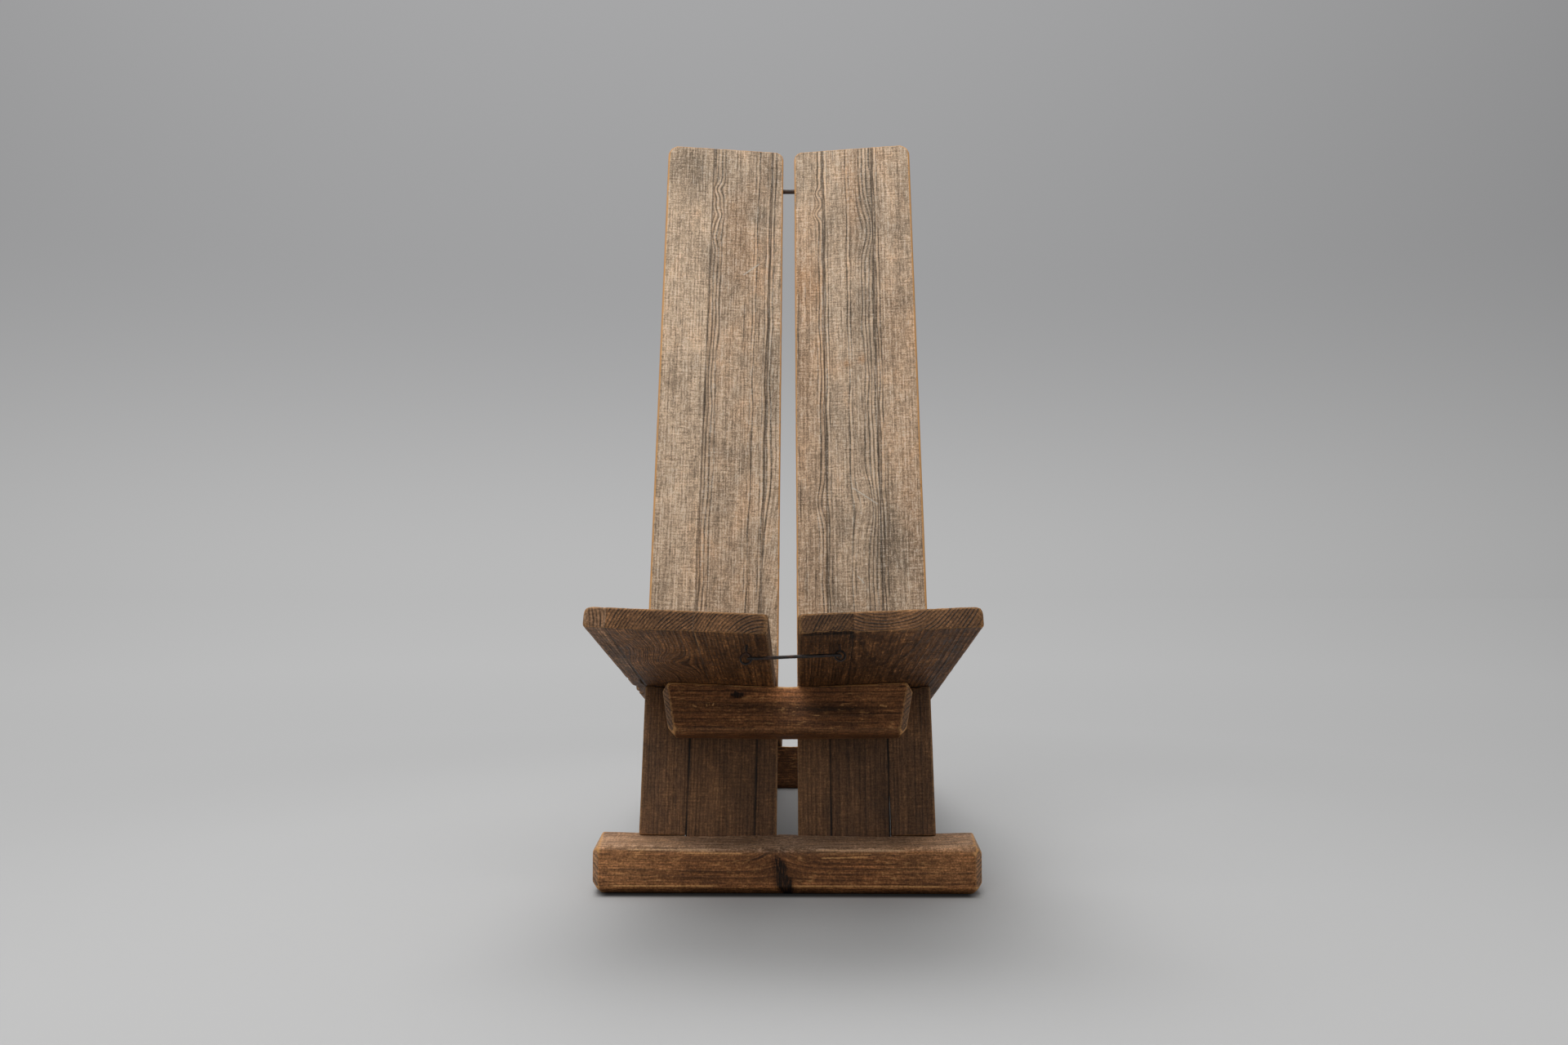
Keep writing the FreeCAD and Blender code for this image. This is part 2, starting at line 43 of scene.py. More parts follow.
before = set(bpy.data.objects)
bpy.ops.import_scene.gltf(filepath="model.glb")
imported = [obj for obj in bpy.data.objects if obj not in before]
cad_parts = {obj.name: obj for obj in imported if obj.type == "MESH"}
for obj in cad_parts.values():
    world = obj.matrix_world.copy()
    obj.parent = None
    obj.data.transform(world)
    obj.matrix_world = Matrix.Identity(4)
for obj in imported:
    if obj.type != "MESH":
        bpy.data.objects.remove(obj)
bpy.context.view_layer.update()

# Stance of the boards, as in the part: degrees, and metres from the floor and the middle
BACK_RECLINE = 14.35
BACK_CANT = 6.12
SEAT_CANT = 2.39
SEAT_FRONT_HEIGHT = 0.3267
SEAT_TAIL_HEIGHT = 0.0632
BACK_VALLEY_Y = -0.21536
SEAT_FRONT_Y = -0.53566
BACK_LENGTH = 1.071
BACK_LIFT = 0.008
BACK_GAP_AT_FOOT = 0.0273
BACK_GAP_AT_TOP = 0.0157
SEAT_LENGTH = 1.096
SEAT_GAP = 0.0312
SEAT_GAP_SETOVER = 0.0014

# Where the boards stop being dark and start being bleached, up the back from the floor
BLEACH_START = 0.250
BLEACH_END = 0.300

# The camera, from the fit of one camera to the edges in the photo
CAMERA_PLACE = (0.01475, -1.74736, 0.37828)
CAMERA_DIRECTION = (-0.012363, 0.998552, 0.052358)
SENSOR_WIDTH = 36

# What the lamps point at
CHAIR_MIDDLE = (0, 0, 0.45)
SEAT_MIDDLE = (0, 0, 0.2)

# The floor's seen colour runs from here to the rear
FLOOR_FRONT_Y = -1.75
FLOOR_REACH = 30.0

# Least share of depth in a direction when its share to the side is measured
LEAST_DEPTH = 0.6

# Contact shade in front of the front foot, and the softer one behind it, 0 to 1
CONTACT_REACH = 0.015
CONTACT_SHADE = 0.92
BEHIND_SHADE = 0.5

# Dust in the bleached fibres, as a screen colour
PALE_DUST = (186, 178, 165)

# Teeth of the saw, from one mark on the timber to the next
SAW_PITCH = 0.0058

# Iron, and the wood screws
IRON_MESH_SIZE = 0.00036
SCREW_HEAD_RADIUS = 0.0048
SCREW_HEAD_HEIGHT = 0.0032
SCREW_SHANK_RADIUS = 0.0024
SCREW_TIP_RADIUS = 0.0008
SCREW_SHANK_END = 0.054
SCREW_LENGTH = 0.062
SCREW_SIDES = 28

# Dome and burr of a screw's head, as shares of its radius and heights
SCREW_DOME = ((0.0, 0.00022), (0.5, 0.00016), (0.85, 0.00004), (1.0, -0.0003), (0.985, -0.0006))

# Block that cuts a screw's slot: wide, long, and twice as high as the slot is deep
SCREW_SLOT = (0.0012, 0.012, 0.0028)

# Vertices of a solid that are closer than this are one
MERGE_DISTANCE = 1e-6

# How far one step of the seed moves the noise that wears a surface
NOISE_SHIFT = 1.37

# How bleached the faces are, 0 to 1, by where they are and look
BACK_SIDES_BLEACH = 0.85
BACK_REAR_BLEACH = 0.45
SEAT_FRONT_BLEACH = 0.15
SEAT_TOP_BLEACH = 0.70
SEAT_LEFT_EDGE_BLEACH = 0.20
RAIL_TOP_BLEACH = 0.42

METRE = {"subtype": "DISTANCE", "unit": "LENGTH"}


def shade(red, green, blue):
    """Linear colour from a screen colour of 0 to 255."""
    return tuple(
        channel / 12.92 if channel <= 0.04045 else ((channel + 0.055) / 1.055) ** 2.4
        for channel in (red / 255, green / 255, blue / 255)
    )


def colour_property(name, description, default):
    return FloatVectorProperty(
        name=name,
        description=description,
        default=shade(*default),
        size=3,
        min=0,
        max=1,
        subtype="COLOR",
    )


class ChairTimber(bpy.types.PropertyGroup):
    """Sizes of the worn timber."""

    mesh_size: FloatProperty(
        name="Mesh Size",
        description="Size of the faces that the worn boards are made of",
        default=0.0020,
        min=0.001,
        max=0.01,
        **METRE,
    )
    arris_wear: FloatProperty(
        name="Arris Wear",
        description="How far the edges of the boards are worn back at most",
        default=0.0004,
        min=0,
        max=0.006,
        **METRE,
    )
    chip_length: FloatProperty(
        name="Chip Length",
        description="Length of the dents along a worn edge",
        default=0.028,
        min=0.005,
        max=0.2,
        **METRE,
    )
    hollows: FloatProperty(
        name="Hollows",
        description="Depth of the shallow hollows that wear has left in the faces",
        default=0.0002,
        min=0,
        max=0.003,
        **METRE,
    )


class ChairColours(bpy.types.PropertyGroup):
    """Colours of the timber and the iron."""

    bleached_early: colour_property(
        "Bleached Wood", "Spring wood where light has bleached it", (186, 161, 135)
    )
    bleached_late: colour_property(
        "Bleached Grain", "Summer wood lines where light has bleached the board", (102, 78, 55)
    )
    brown_early: colour_property(
        "Aged Wood", "Spring wood where the board has kept its brown", (104, 68, 38)
    )
    brown_late: colour_property(
        "Aged Grain", "Summer wood lines where the board has kept its brown", (36, 21, 10)
    )
    sheltered_early: colour_property(
        "Sheltered Wood", "Spring wood low on the back boards, behind the feet", (111, 79, 53)
    )
    sheltered_late: colour_property(
        "Sheltered Grain", "Summer wood lines low on the back boards", (58, 39, 24)
    )
    red_early: colour_property(
        "Rail Wood", "Spring wood of the rails and feet", (134, 87, 52)
    )
    red_late: colour_property(
        "Rail Grain", "Summer wood lines of the rails and feet", (50, 29, 15)
    )
    golden: colour_property(
        "Fresh Wood", "Golden wood where an edge is rubbed bare", (204, 152, 96)
    )
    tan: colour_property("Tan Patches", "Warm patches on the faces", (176, 128, 84))
    grey_stain: colour_property(
        "Grey Stain", "Grey weather stains on the bleached wood", (140, 123, 103)
    )
    dirt: colour_property("Dirt", "What has gathered in seams and cracks", (30, 21, 15))
    iron: colour_property("Iron", "Blackened iron", (44, 38, 36))
    rust: colour_property("Rust", "Rust on the iron", (84, 54, 38))


class ChairStage(bpy.types.PropertyGroup):
    """Camera, light and background."""

    lens: FloatProperty(
        name="Lens",
        description="Focal length of the camera",
        default=27.19,
        min=10,
        max=200,
        unit="CAMERA",
    )
    key_power: FloatProperty(
        name="Key Light", description="Power of the main soft light", default=47, min=0, unit="POWER"
    )
    fill_power: FloatProperty(
        name="Fill Light", description="Power of the second soft light", default=8, min=0, unit="POWER"
    )
    top_power: FloatProperty(
        name="Top Light", description="Power of the soft light overhead", default=66, min=0, unit="POWER"
    )
    sky: FloatProperty(
        name="Room Light", description="Strength of the light from all round", default=0.24, min=0, max=4
    )
    backdrop_high: colour_property(
        "Backdrop Middle", "Colour of the background behind the back boards", (160, 160, 161)
    )
    backdrop_top: colour_property(
        "Backdrop Ceiling", "Colour of the background above the chair", (170, 170, 171)
    )
    backdrop_low: colour_property(
        "Backdrop Bottom", "Colour of the background at the floor", (185, 185, 185)
    )
    floor: colour_property("Floor", "Colour of the floor", (177, 177, 177))
    floor_near: colour_property(
        "Near Floor", "Colour the floor is seen in near the front", (205, 205, 205)
    )


class ChairSettings(bpy.types.PropertyGroup):
    """All settings of the lounge chair."""

    timber: PointerProperty(type=ChairTimber)
    colours: PointerProperty(type=ChairColours)
    stage: PointerProperty(type=ChairStage)
    seed: IntProperty(
        name="Seed", description="Start of everything random", default=7, min=0, max=1000
    )


# Node trees


class Graph:
    """Short calls for building one node tree."""

    def __init__(self, tree):
        self.tree = tree

    def node(self, kind, **settings):
        made = self.tree.nodes.new(kind)
        for name, value in settings.items():
            setattr(made, name, value)
        return made

    def socket(self, sockets, name):
        for found in sockets:
            if found.name == name and found.enabled:
                return found
        raise RuntimeError(f"no socket {name} here")

    def feed(self, node, **values):
        """Sets or links inputs, named by their label with _ for a space."""
        for name, value in values.items():
            self.put(self.socket(node.inputs, name.replace("_", " ")), value)

    def put(self, socket, value):
        if isinstance(value, bpy.types.NodeSocket):
            self.tree.links.new(value, socket)
        elif socket.type == "RGBA":
            socket.default_value = (*value[:3], 1)
        else:
            socket.default_value = value

    def math(self, operation, *values, clamp=False):
        made = self.node("ShaderNodeMath", operation=operation, use_clamp=clamp)
        for socket, value in zip(made.inputs, values):
            self.put(socket, value)
        return made.outputs[0]

    def vector(self, operation, *values):
        made = self.node("ShaderNodeVectorMath", operation=operation)
        for socket, value in zip(made.inputs, values):
            self.put(socket, value)
        return made.outputs["Value" if operation in ("LENGTH", "DOT_PRODUCT") else "Vector"]

    def combine(self, x, y, z):
        made = self.node("ShaderNodeCombineXYZ")
        for socket, value in zip(made.inputs, (x, y, z)):
            self.put(socket, value)
        return made.outputs[0]

    def split(self, vector):
        made = self.node("ShaderNodeSeparateXYZ")
        self.put(made.inputs[0], vector)
        return made.outputs

    def noise(self, vector, stretch, detail=2.0, roughness=0.5, distortion=0.0):
        """Noise over a vector whose axes are scaled by stretch, from 0 to 1."""
        made = self.node("ShaderNodeTexNoise")
        self.feed(made, Vector=self.vector("MULTIPLY", vector, stretch), Scale=1.0)
        self.feed(made, Detail=detail, Roughness=roughness, Distortion=distortion)
        return made.outputs[0]

    def line_noise(self, value, scale):
        """Noise along one number, from 0 to 1."""
        made = self.node("ShaderNodeTexNoise", noise_dimensions="1D")
        self.feed(made, W=value, Scale=scale, Detail=1.0)
        return made.outputs[0]

    def ramp(self, value, low, high, to_low=0.0, to_high=1.0, smooth=True):
        """Runs from to_low to to_high as a value runs from low to high."""
        made = self.node(
            "ShaderNodeMapRange", interpolation_type="SMOOTHSTEP" if smooth else "LINEAR"
        )
        for socket, number in zip(made.inputs[:5], (value, low, high, to_low, to_high)):
            self.put(socket, number)
        return made.outputs[0]

    def swing(self, value, width, amount):
        """From -amount to amount as a noise runs through its middle, over a width of values."""
        return self.ramp(value, 0.5 - width, 0.5 + width, -amount, amount, smooth=False)

    def total(self, *values):
        """Sum of the values."""
        found = values[0]
        for value in values[1:]:
            found = self.math("ADD", found, value)
        return found

    def product(self, *values):
        """All values multiplied."""
        found = values[0]
        for value in values[1:]:
            found = self.math("MULTIPLY", found, value)
        return found

    def scaled(self, vector, number):
        made = self.node("ShaderNodeVectorMath", operation="SCALE")
        self.put(made.inputs[0], vector)
        self.put(self.socket(made.inputs, "Scale"), number)
        return made.outputs["Vector"]

    def brighten(self, colour, stops):
        """Doubles a colour's light for each stop."""
        return self.scaled(colour, self.math("POWER", 2.0, stops))

    def mix(self, amount, low, high):
        """A colour between low and high."""
        made = self.node("ShaderNodeMix", data_type="RGBA")
        self.put(self.socket(made.inputs, "Factor"), amount)
        self.put(self.socket(made.inputs, "A"), low)
        self.put(self.socket(made.inputs, "B"), high)
        return self.socket(made.outputs, "Result")

    def mix_shaders(self, amount, low, high):
        made = self.node("ShaderNodeMixShader")
        for socket, value in zip(made.inputs, (amount, low, high)):
            self.put(socket, value)
        return made.outputs[0]

    def seen(self):
        """1 where the camera or gloss looks, 0 for all other light."""
        ray = self.node("ShaderNodeLightPath")
        return self.math("MAXIMUM", ray.outputs["Is Camera Ray"], ray.outputs["Is Glossy Ray"])

    def attribute(self, name, output="Fac"):
        """What the vertices carry under a name: a number, or with the output Vector a vector."""
        made = self.node("ShaderNodeAttribute", attribute_name=name)
        return made.outputs[output]


def new_material(name):
    """A material with an empty node tree."""
    material = bpy.data.materials.new(name)
    material.use_nodes = True
    material.node_tree.nodes.clear()
    return material


def finish_surface(graph, colour, roughness, height, distance, metallic=0.0, specular=0.35):
    """Principled surface with colour, roughness and bump from nodes."""
    bump = graph.node("ShaderNodeBump")
    graph.feed(bump, Strength=1.0, Distance=distance, Height=height)
    surface = graph.node("ShaderNodeBsdfPrincipled")
    graph.feed(surface, Base_Color=colour, Roughness=roughness, Metallic=metallic)
    graph.feed(surface, Normal=bump.outputs[0])
    surface.inputs["Specular IOR Level"].default_value = specular
    output = graph.node("ShaderNodeOutputMaterial")
    graph.tree.links.new(surface.outputs[0], output.inputs[0])


# Pine


class PineGraph(Graph):
    """Node tree of a pine finish: what the vertices carry, and the noises that its parts share."""

    def __init__(self, tree, colours):
        super().__init__(tree)
        self.colours = colours
        self.rings = self.attribute("rings", "Vector")
        self.board = self.attribute("board", "Vector")
        self.end = self.attribute("end")
        self.hair = self.noise(self.rings, (900.0, 900.0, 24.0), 2.0)
        self.grit = self.noise(self.board, (420.0, 420.0, 420.0), 3.0, 0.65)
        self.dashes = self.noise(self.rings, (420.0, 420.0, 80.0), 3.0, 0.62)
        self.furrows = self.noise(self.rings, (420.0, 420.0, 5.0), 3.0, 0.6)
        self.weather = self.noise(self.board, (60.0, 40.0, 60.0), 5.0, 0.7)
        self.patch = self.noise(self.board, (15.0, 8.0, 15.0), 5.0, 0.62, 0.5)
        given = self.attribute("bleach")
        uneven = self.math("ADD", given, self.swing(self.patch, 0.2, 0.08), clamp=True)
        self.bleach = self.math("MULTIPLY", uneven, self.ramp(given, 0.0, 0.15))

    def by_bleach(self, brown, bleached):
        """From one number where the wood is brown to another where it is bleached."""
        return self.ramp(self.bleach, 0.0, 1.0, brown, bleached)


def line_chance(graph, phase):
    """A number from 0 to 1 for each whole step of the phase."""
    chance = graph.node("ShaderNodeTexWhiteNoise", noise_dimensions="1D")
    graph.put(chance.inputs["W"], graph.math("FLOOR", phase))
    return chance.outputs["Value"]


def growth_rings(graph, spacing):
    """Summer wood lines, 0 to 1, from the distance to the heart of the tree."""
    rings = graph.rings
    slow = graph.noise(rings, (7.0, 7.0, 1.6), 1.0)
    quick = graph.noise(rings, (40.0, 40.0, 7.0), 2.0)
    radius = graph.vector("LENGTH", graph.vector("MULTIPLY", rings, (1.0, 1.0, 0.0)))
    radius = graph.math("MULTIPLY_ADD", slow, 0.020, radius)
    radius = graph.math("MULTIPLY_ADD", quick, 0.0036, radius)
    uneven = graph.line_noise(radius, 40.0)
    phase = graph.math("DIVIDE", radius, spacing)
    phase = graph.math("MULTIPLY_ADD", uneven, 1.2, phase)
    part = graph.math("FRACT", phase)
    return graph.product(
        graph.ramp(part, 0.36, 0.80),
        graph.ramp(part, 0.86, 1.0, 1.0, 0.0),
        graph.ramp(line_chance(graph, phase), 0.0, 1.0, 0.35, 1.0, smooth=False),
        graph.ramp(graph.noise(rings, (90.0, 90.0, 12.0), 3.0, 0.6), 0.34, 0.56, 0.45, 1.0),
    )


def bundle_lines(graph, bundle):
    """Crisp dark lines of a bundle of resinous rings, 0 to 1, from the place across it in rings."""
    parts = graph.split(bundle)
    waver = graph.noise(bundle, (0.30, 12.0, 0.0), 2.0)
    phase = graph.math("MULTIPLY_ADD", waver, 1.8, parts[0])
    part = graph.math("FRACT", phase)
    return graph.product(
        graph.ramp(part, 0.28, 0.50),
        graph.ramp(part, 0.66, 0.86, 1.0, 0.0),
        graph.ramp(line_chance(graph, phase), 0.0, 1.0, 0.60, 1.0, smooth=False),
        graph.ramp(graph.noise(bundle, (0.8, 20.0, 0.0), 3.0, 0.6), 0.32, 0.52, 0.50, 1.0),
        graph.ramp(parts[2], 0.10, 0.50),
    )


def sawn_marks(graph, weave):
    """Marks across the grain, below and above 0: the saw's, and those of rough fibres."""
    place = graph.split(graph.board)
    along = graph.math("MULTIPLY_ADD", place[0], 0.03, place[1])
    waver = graph.noise(graph.board, (30.0, 50.0, 30.0), 2.0)
    along = graph.math("MULTIPLY_ADD", waver, 0.008, along)
    saw = graph.math("SINE", graph.math("MULTIPLY", along, 2 * math.pi / SAW_PITCH))
    rough = graph.noise(graph.board, (55.0, 430.0, 55.0), 2.0, 0.6)
    return graph.product(
        graph.math("MULTIPLY_ADD", saw, 0.24, graph.swing(rough, 0.16, 1.1)),
        graph.ramp(graph.weather, 0.38, 0.60, 0.25, 1.0),
        graph.by_bleach(weave, 1.0),
    )


def patched(graph, colour):
    """The colour with tan patches where the tone is warm, and grey ones where it is cold."""
    tone = graph.attribute("tone")
    tan = graph.total(
        graph.ramp(graph.patch, 0.50, 0.64, 0.0, 0.40),
        graph.ramp(graph.weather, 0.54, 0.64, 0.0, 0.16),
    )
    tan = graph.math("MULTIPLY_ADD", tan, graph.by_bleach(0.40, 1.0), tone, clamp=True)
    colour = graph.mix(tan, colour, graph.mix(0.55, colour, graph.colours.tan))
    grey = graph.total(
        graph.ramp(graph.patch, 0.36, 0.50, 0.45, 0.0),
        graph.ramp(graph.weather, 0.36, 0.46, 0.08, 0.0),
    )
    grey = graph.math("SUBTRACT", grey, tone, clamp=True)
    greyed = graph.mix(graph.by_bleach(0.15, 0.75), colour, graph.colours.grey_stain)
    return graph.mix(graph.math("MULTIPLY", grey, graph.by_bleach(0.20, 0.80)), colour, greyed)


def rubbed(graph, colour, gold):
    """The colour with golden wood where an edge is rubbed bare."""
    worn = graph.ramp(graph.attribute("wear"), 0.25, 0.80)
    bare = graph.product(
        graph.math("MULTIPLY_ADD", worn, graph.by_bleach(gold, 0.80), graph.attribute("rim")),
        graph.ramp(graph.weather, 0.30, 0.50, 0.10, 1.0),
        graph.ramp(graph.grit, 0.30, 0.50, 0.2, 1.0),
    )
    return graph.mix(graph.math("MULTIPLY", bare, 1.0, clamp=True), colour, graph.colours.golden)


def scratched(graph, colour, flecks):
    """The colour with a thin bare line along each scratch."""
    scratch = graph.split(graph.attribute("scratch_place", "Vector"))
    line = graph.product(
        graph.ramp(graph.math("ABSOLUTE", scratch[0]), 0.0004, 0.0013, 1.0, 0.0),
        graph.ramp(graph.math("ABSOLUTE", scratch[1]), 0.40, 0.50, 1.0, 0.0),
        graph.ramp(graph.grit, 0.35, 0.6, 0.40, 1.0),
        graph.by_bleach(0.25 + 0.75 * flecks, 1.0),
    )
    bare = graph.mix(graph.bleach, graph.colours.golden, shade(*PALE_DUST))
    return graph.mix(line, colour, graph.brighten(bare, 0.15))


def knotted(graph, colour, early, late_colour):
    """The colour with ragged knots and their dark halos, and how far a place is in a knot."""
    dirt = graph.colours.dirt
    splinters = graph.noise(graph.board, (90.0, 640.0, 90.0), 3.0, 0.6)
    lumps = graph.noise(graph.board, (130.0, 130.0, 130.0), 2.0)
    knot = graph.total(
        graph.vector("LENGTH", graph.attribute("knot_place", "Vector")),
        graph.swing(lumps, 0.2, 0.25),
        graph.swing(splinters, 0.2, 0.30),
    )
    ring = graph.ramp(graph.math("SINE", graph.math("MULTIPLY", knot, 14.0)), -1, 1, 0.3, 1.0)
    heart = graph.mix(ring, graph.mix(0.6, late_colour, dirt), dirt)
    heart = graph.mix(graph.ramp(graph.grit, 0.45, 0.65, 0.0, 0.35), heart, late_colour)
    heart = graph.mix(graph.ramp(splinters, 0.54, 0.66, 0.0, 0.40), heart, early)
    halo = graph.ramp(knot, 0.9, 1.8, 0.75, 0.0)
    colour = graph.mix(halo, colour, graph.mix(0.75, colour, late_colour))
    inside = graph.ramp(knot, 0.85, 1.10, 1.0, 0.0)
    return graph.mix(inside, colour, heart), inside


def seam_lines(graph):
    """Dirt in the glued seams, 0 to 1."""
    return graph.product(
        graph.ramp(graph.attribute("seam_gap"), 0.0007, 0.0019, 1.0, 0.0),
        graph.attribute("seam_dirt"),
        graph.math("SUBTRACT", 1.0, graph.end),
        graph.ramp(graph.noise(graph.board, (9.0, 14.0, 9.0), 3.0), 0.36, 0.56, 0.60, 1.0),
    )


def cracks_and_pits(graph):
    """How deep a place is in a fine crack or a pit, 0 to 1."""
    cracks = graph.ramp(graph.noise(graph.rings, (380.0, 380.0, 6.0), 2.0, 0.5), 0.69, 0.74)
    pits = graph.ramp(graph.noise(graph.board, (210.0, 130.0, 210.0), 2.0), 0.68, 0.75)
    return graph.math(
        "MAXIMUM", graph.math("MULTIPLY", cracks, 0.80), graph.math("MULTIPLY", pits, 0.45)
    )


def pine(
    name, colours, early, late_colour, spacing, contrast, flecks, gold, end_grey, end_lines, weave,
    specular,
):
    """Old pine. Its colour runs from aged brown to bleached by the attribute bleach.

    spacing: of the rings, in metres. contrast: of the fibres where the wood is brown. flecks: how
    much golden wood shows in spots and scratches. gold: how far brown edges are rubbed to gold.
    end_grey: how grey the end grain is. end_lines: how much darker its rings are. weave: how
    strong marks across the grain are where the wood is brown.
    """
    material = new_material(name)
    graph = PineGraph(material.node_tree, colours)
    bleach = graph.bleach
    end = graph.end

    # Summer wood stands as dark lines
    late = growth_rings(graph, spacing)
    strength = graph.math("MULTIPLY_ADD", end, end_lines, graph.by_bleach(0.80, 0.35))
    line = graph.math("MULTIPLY", late, strength, clamp=True)
    brown = graph.mix(line, early, late_colour)
    pale = graph.mix(line, colours.bleached_early, colours.bleached_late)
    colour = graph.mix(bleach, brown, pale)
    colour = graph.mix(graph.math("MULTIPLY", end, end_grey), colour, colours.grey_stain)
    colour = patched(graph, colour)

    # Light and dark in the fibres, calmer in the bundles and on the end grain
    bundle = graph.attribute("bundle", "Vector")
    resin = graph.math("MULTIPLY", bundle_lines(graph, bundle), graph.by_bleach(0.15, 1.0))
    bundled = graph.math("MULTIPLY", graph.split(bundle)[2], graph.by_bleach(0.15, 1.0))
    calm = graph.math("MULTIPLY_ADD", bundled, -0.40, graph.by_bleach(contrast, 1.0))
    calm = graph.math("MULTIPLY", calm, graph.ramp(end, 0.0, 1.0, 1.0, 0.45))
    sawn = sawn_marks(graph, weave)
    fibres = graph.total(
        graph.swing(graph.furrows, 0.14, 0.44),
        graph.swing(graph.dashes, 0.16, 0.50),
        graph.swing(graph.grit, 0.16, 0.60),
        graph.swing(graph.hair, 0.20, 0.25),
        graph.math("MULTIPLY", sawn, 0.48),
    )
    stops = graph.total(
        graph.math("MULTIPLY", fibres, calm),
        graph.math("MULTIPLY", graph.swing(graph.weather, 0.18, 0.20), graph.by_bleach(0.8, 1.0)),
        graph.swing(graph.patch, 0.20, 0.36),
        graph.math("MULTIPLY", resin, -2.1),
        graph.math("MULTIPLY", bundled, 0.30),
        graph.product(late, end, -end_lines),
        # Stops of stains, with painted light and painted shade, from the vertices
        graph.attribute("light_and_stains"),
    )
    colour = graph.brighten(colour, stops)

    # Dust on raised fibres, pale hairs and golden flecks
    dust = shade(*PALE_DUST)
    lit = graph.math("MULTIPLY", graph.ramp(fibres, 0.05, 1.10, 0.0, 0.65), bleach)
    colour = graph.mix(lit, colour, dust)
    pale_hair = graph.product(
        graph.ramp(graph.hair, 0.55, 0.72),
        graph.ramp(graph.dashes, 0.42, 0.60),
        graph.by_bleach(0.05, 0.40),
        graph.math("SUBTRACT", 1.0, resin),
    )
    colour = graph.mix(pale_hair, colour, graph.mix(bleach, colours.golden, dust))
    fleck = graph.product(
        graph.ramp(graph.dashes, 0.56, 0.66), graph.ramp(graph.weather, 0.46, 0.60), flecks
    )
    colour = graph.mix(fleck, colour, graph.mix(0.60, colour, colours.golden))

    # Wear, knots, seams and cracks
    colour = rubbed(graph, colour, gold)
    colour = scratched(graph, colour, flecks)
    colour, in_knot = knotted(graph, colour, early, late_colour)
    seam = seam_lines(graph)
    colour = graph.mix(seam, colour, colours.dirt)
    deep = cracks_and_pits(graph)
    colour = graph.mix(deep, colour, graph.mix(0.7, colour, colours.dirt))

    roughness = graph.total(
        graph.by_bleach(0.62, 0.86),
        graph.swing(graph.weather, 0.2, 0.10),
        graph.math("MULTIPLY", line, -0.10),
    )
    height = graph.total(
        *(
            graph.math("MULTIPLY", form, share)
            for form, share in (
                (line, 0.55), (resin, 0.45), (graph.furrows, 0.50), (graph.dashes, 0.50),
                (graph.grit, 0.35), (graph.hair, 0.15), (sawn, 0.10), (deep, -0.9), (seam, -0.7),
                (in_knot, -0.4),
            )
        )
    )
    finish_surface(graph, colour, roughness, height, 0.0008, specular=specular)
    return material


def blackened_iron(name, colours, base, sheen):
    """Dark iron with scale, pits and a bloom of rust. sheen is its least roughness."""
    material = new_material(name)
    graph = Graph(material.node_tree)
    place = graph.node("ShaderNodeTexCoord").outputs["Object"]
    scale = graph.noise(place, (420.0, 420.0, 420.0), 4.0, 0.65)
    bloom = graph.noise(place, (110.0, 110.0, 110.0), 3.0, 0.6)
    pits = graph.ramp(graph.noise(place, (900.0, 900.0, 900.0), 2.0), 0.58, 0.72)
    colour = graph.mix(graph.ramp(bloom, 0.48, 0.68, 0.0, 0.75), base, colours.rust)
    colour = graph.mix(graph.ramp(scale, 0.35, 0.75, 0.0, 0.35), colour, (0.10, 0.09, 0.085))
    colour = graph.mix(graph.math("MULTIPLY", pits, 0.7), colour, (0.008, 0.006, 0.005))
    roughness = graph.ramp(scale, 0.3, 0.7, sheen, sheen + 0.28)
    height = graph.math("MULTIPLY_ADD", pits, -0.6, scale)
    finish_surface(graph, colour, roughness, height, 0.00025, metallic=0.55, specular=0.5)
    return material


# Frames of the boards: X across from the inner edge, Y along the grain, Z square to the face


def axes_matrix(across, along, normal, origin):
    matrix = Matrix((across, along, normal)).transposed().to_4x4()
    matrix.translation = origin
    return matrix


def board_matrix(side, tilt, cant, origin, edge_gap, toe):
    """Matrix of a board from its angles in radians.

    side is +1 for the +X board, -1 for the other, whose X then runs inwards.
    """
    along = Vector((0, math.cos(tilt), math.sin(tilt)))
    face = Vector((0, -math.sin(tilt), math.cos(tilt)))
    across = Vector((math.cos(cant), 0, 0)) + face * math.sin(cant)
    normal = across.cross(along)
    valley = axes_matrix(across, along, normal, origin)
    board = valley @ Matrix.Translation((edge_gap, 0, 0)) @ Matrix.Rotation(toe, 4, "Z")
    if side > 0:
        return board
    mirror = Matrix.Diagonal((-1, 1, 1, 1))
    return mirror @ board @ mirror


def back_matrix(side):
    toe = math.atan((BACK_GAP_AT_FOOT - BACK_GAP_AT_TOP) / 2 / (BACK_LIFT + BACK_LENGTH))
    return board_matrix(
        side,
        math.radians(90 - BACK_RECLINE),
        math.radians(BACK_CANT),
        (0, BACK_VALLEY_Y, 0),
        BACK_GAP_AT_FOOT / 2,
        toe,
    )


def seat_matrix(side):
    slope = math.asin((SEAT_FRONT_HEIGHT - SEAT_TAIL_HEIGHT) / SEAT_LENGTH)
    return board_matrix(
        side,
        -slope,
        math.radians(SEAT_CANT),
        (0, SEAT_FRONT_Y, SEAT_FRONT_HEIGHT),
        SEAT_GAP / 2 - side * SEAT_GAP_SETOVER,
        0.0,
    )


def rail_matrix(node):
    """A rail's grain runs along the chair's X, its own X runs to the front."""
    low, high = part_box(node)
    middle = (low + high) / 2
    return axes_matrix(
        Vector((0, -1, 0)), Vector((1, 0, 0)), Vector((0, 0, 1)), (0, middle.y, middle.z)
    )


# Worn timber


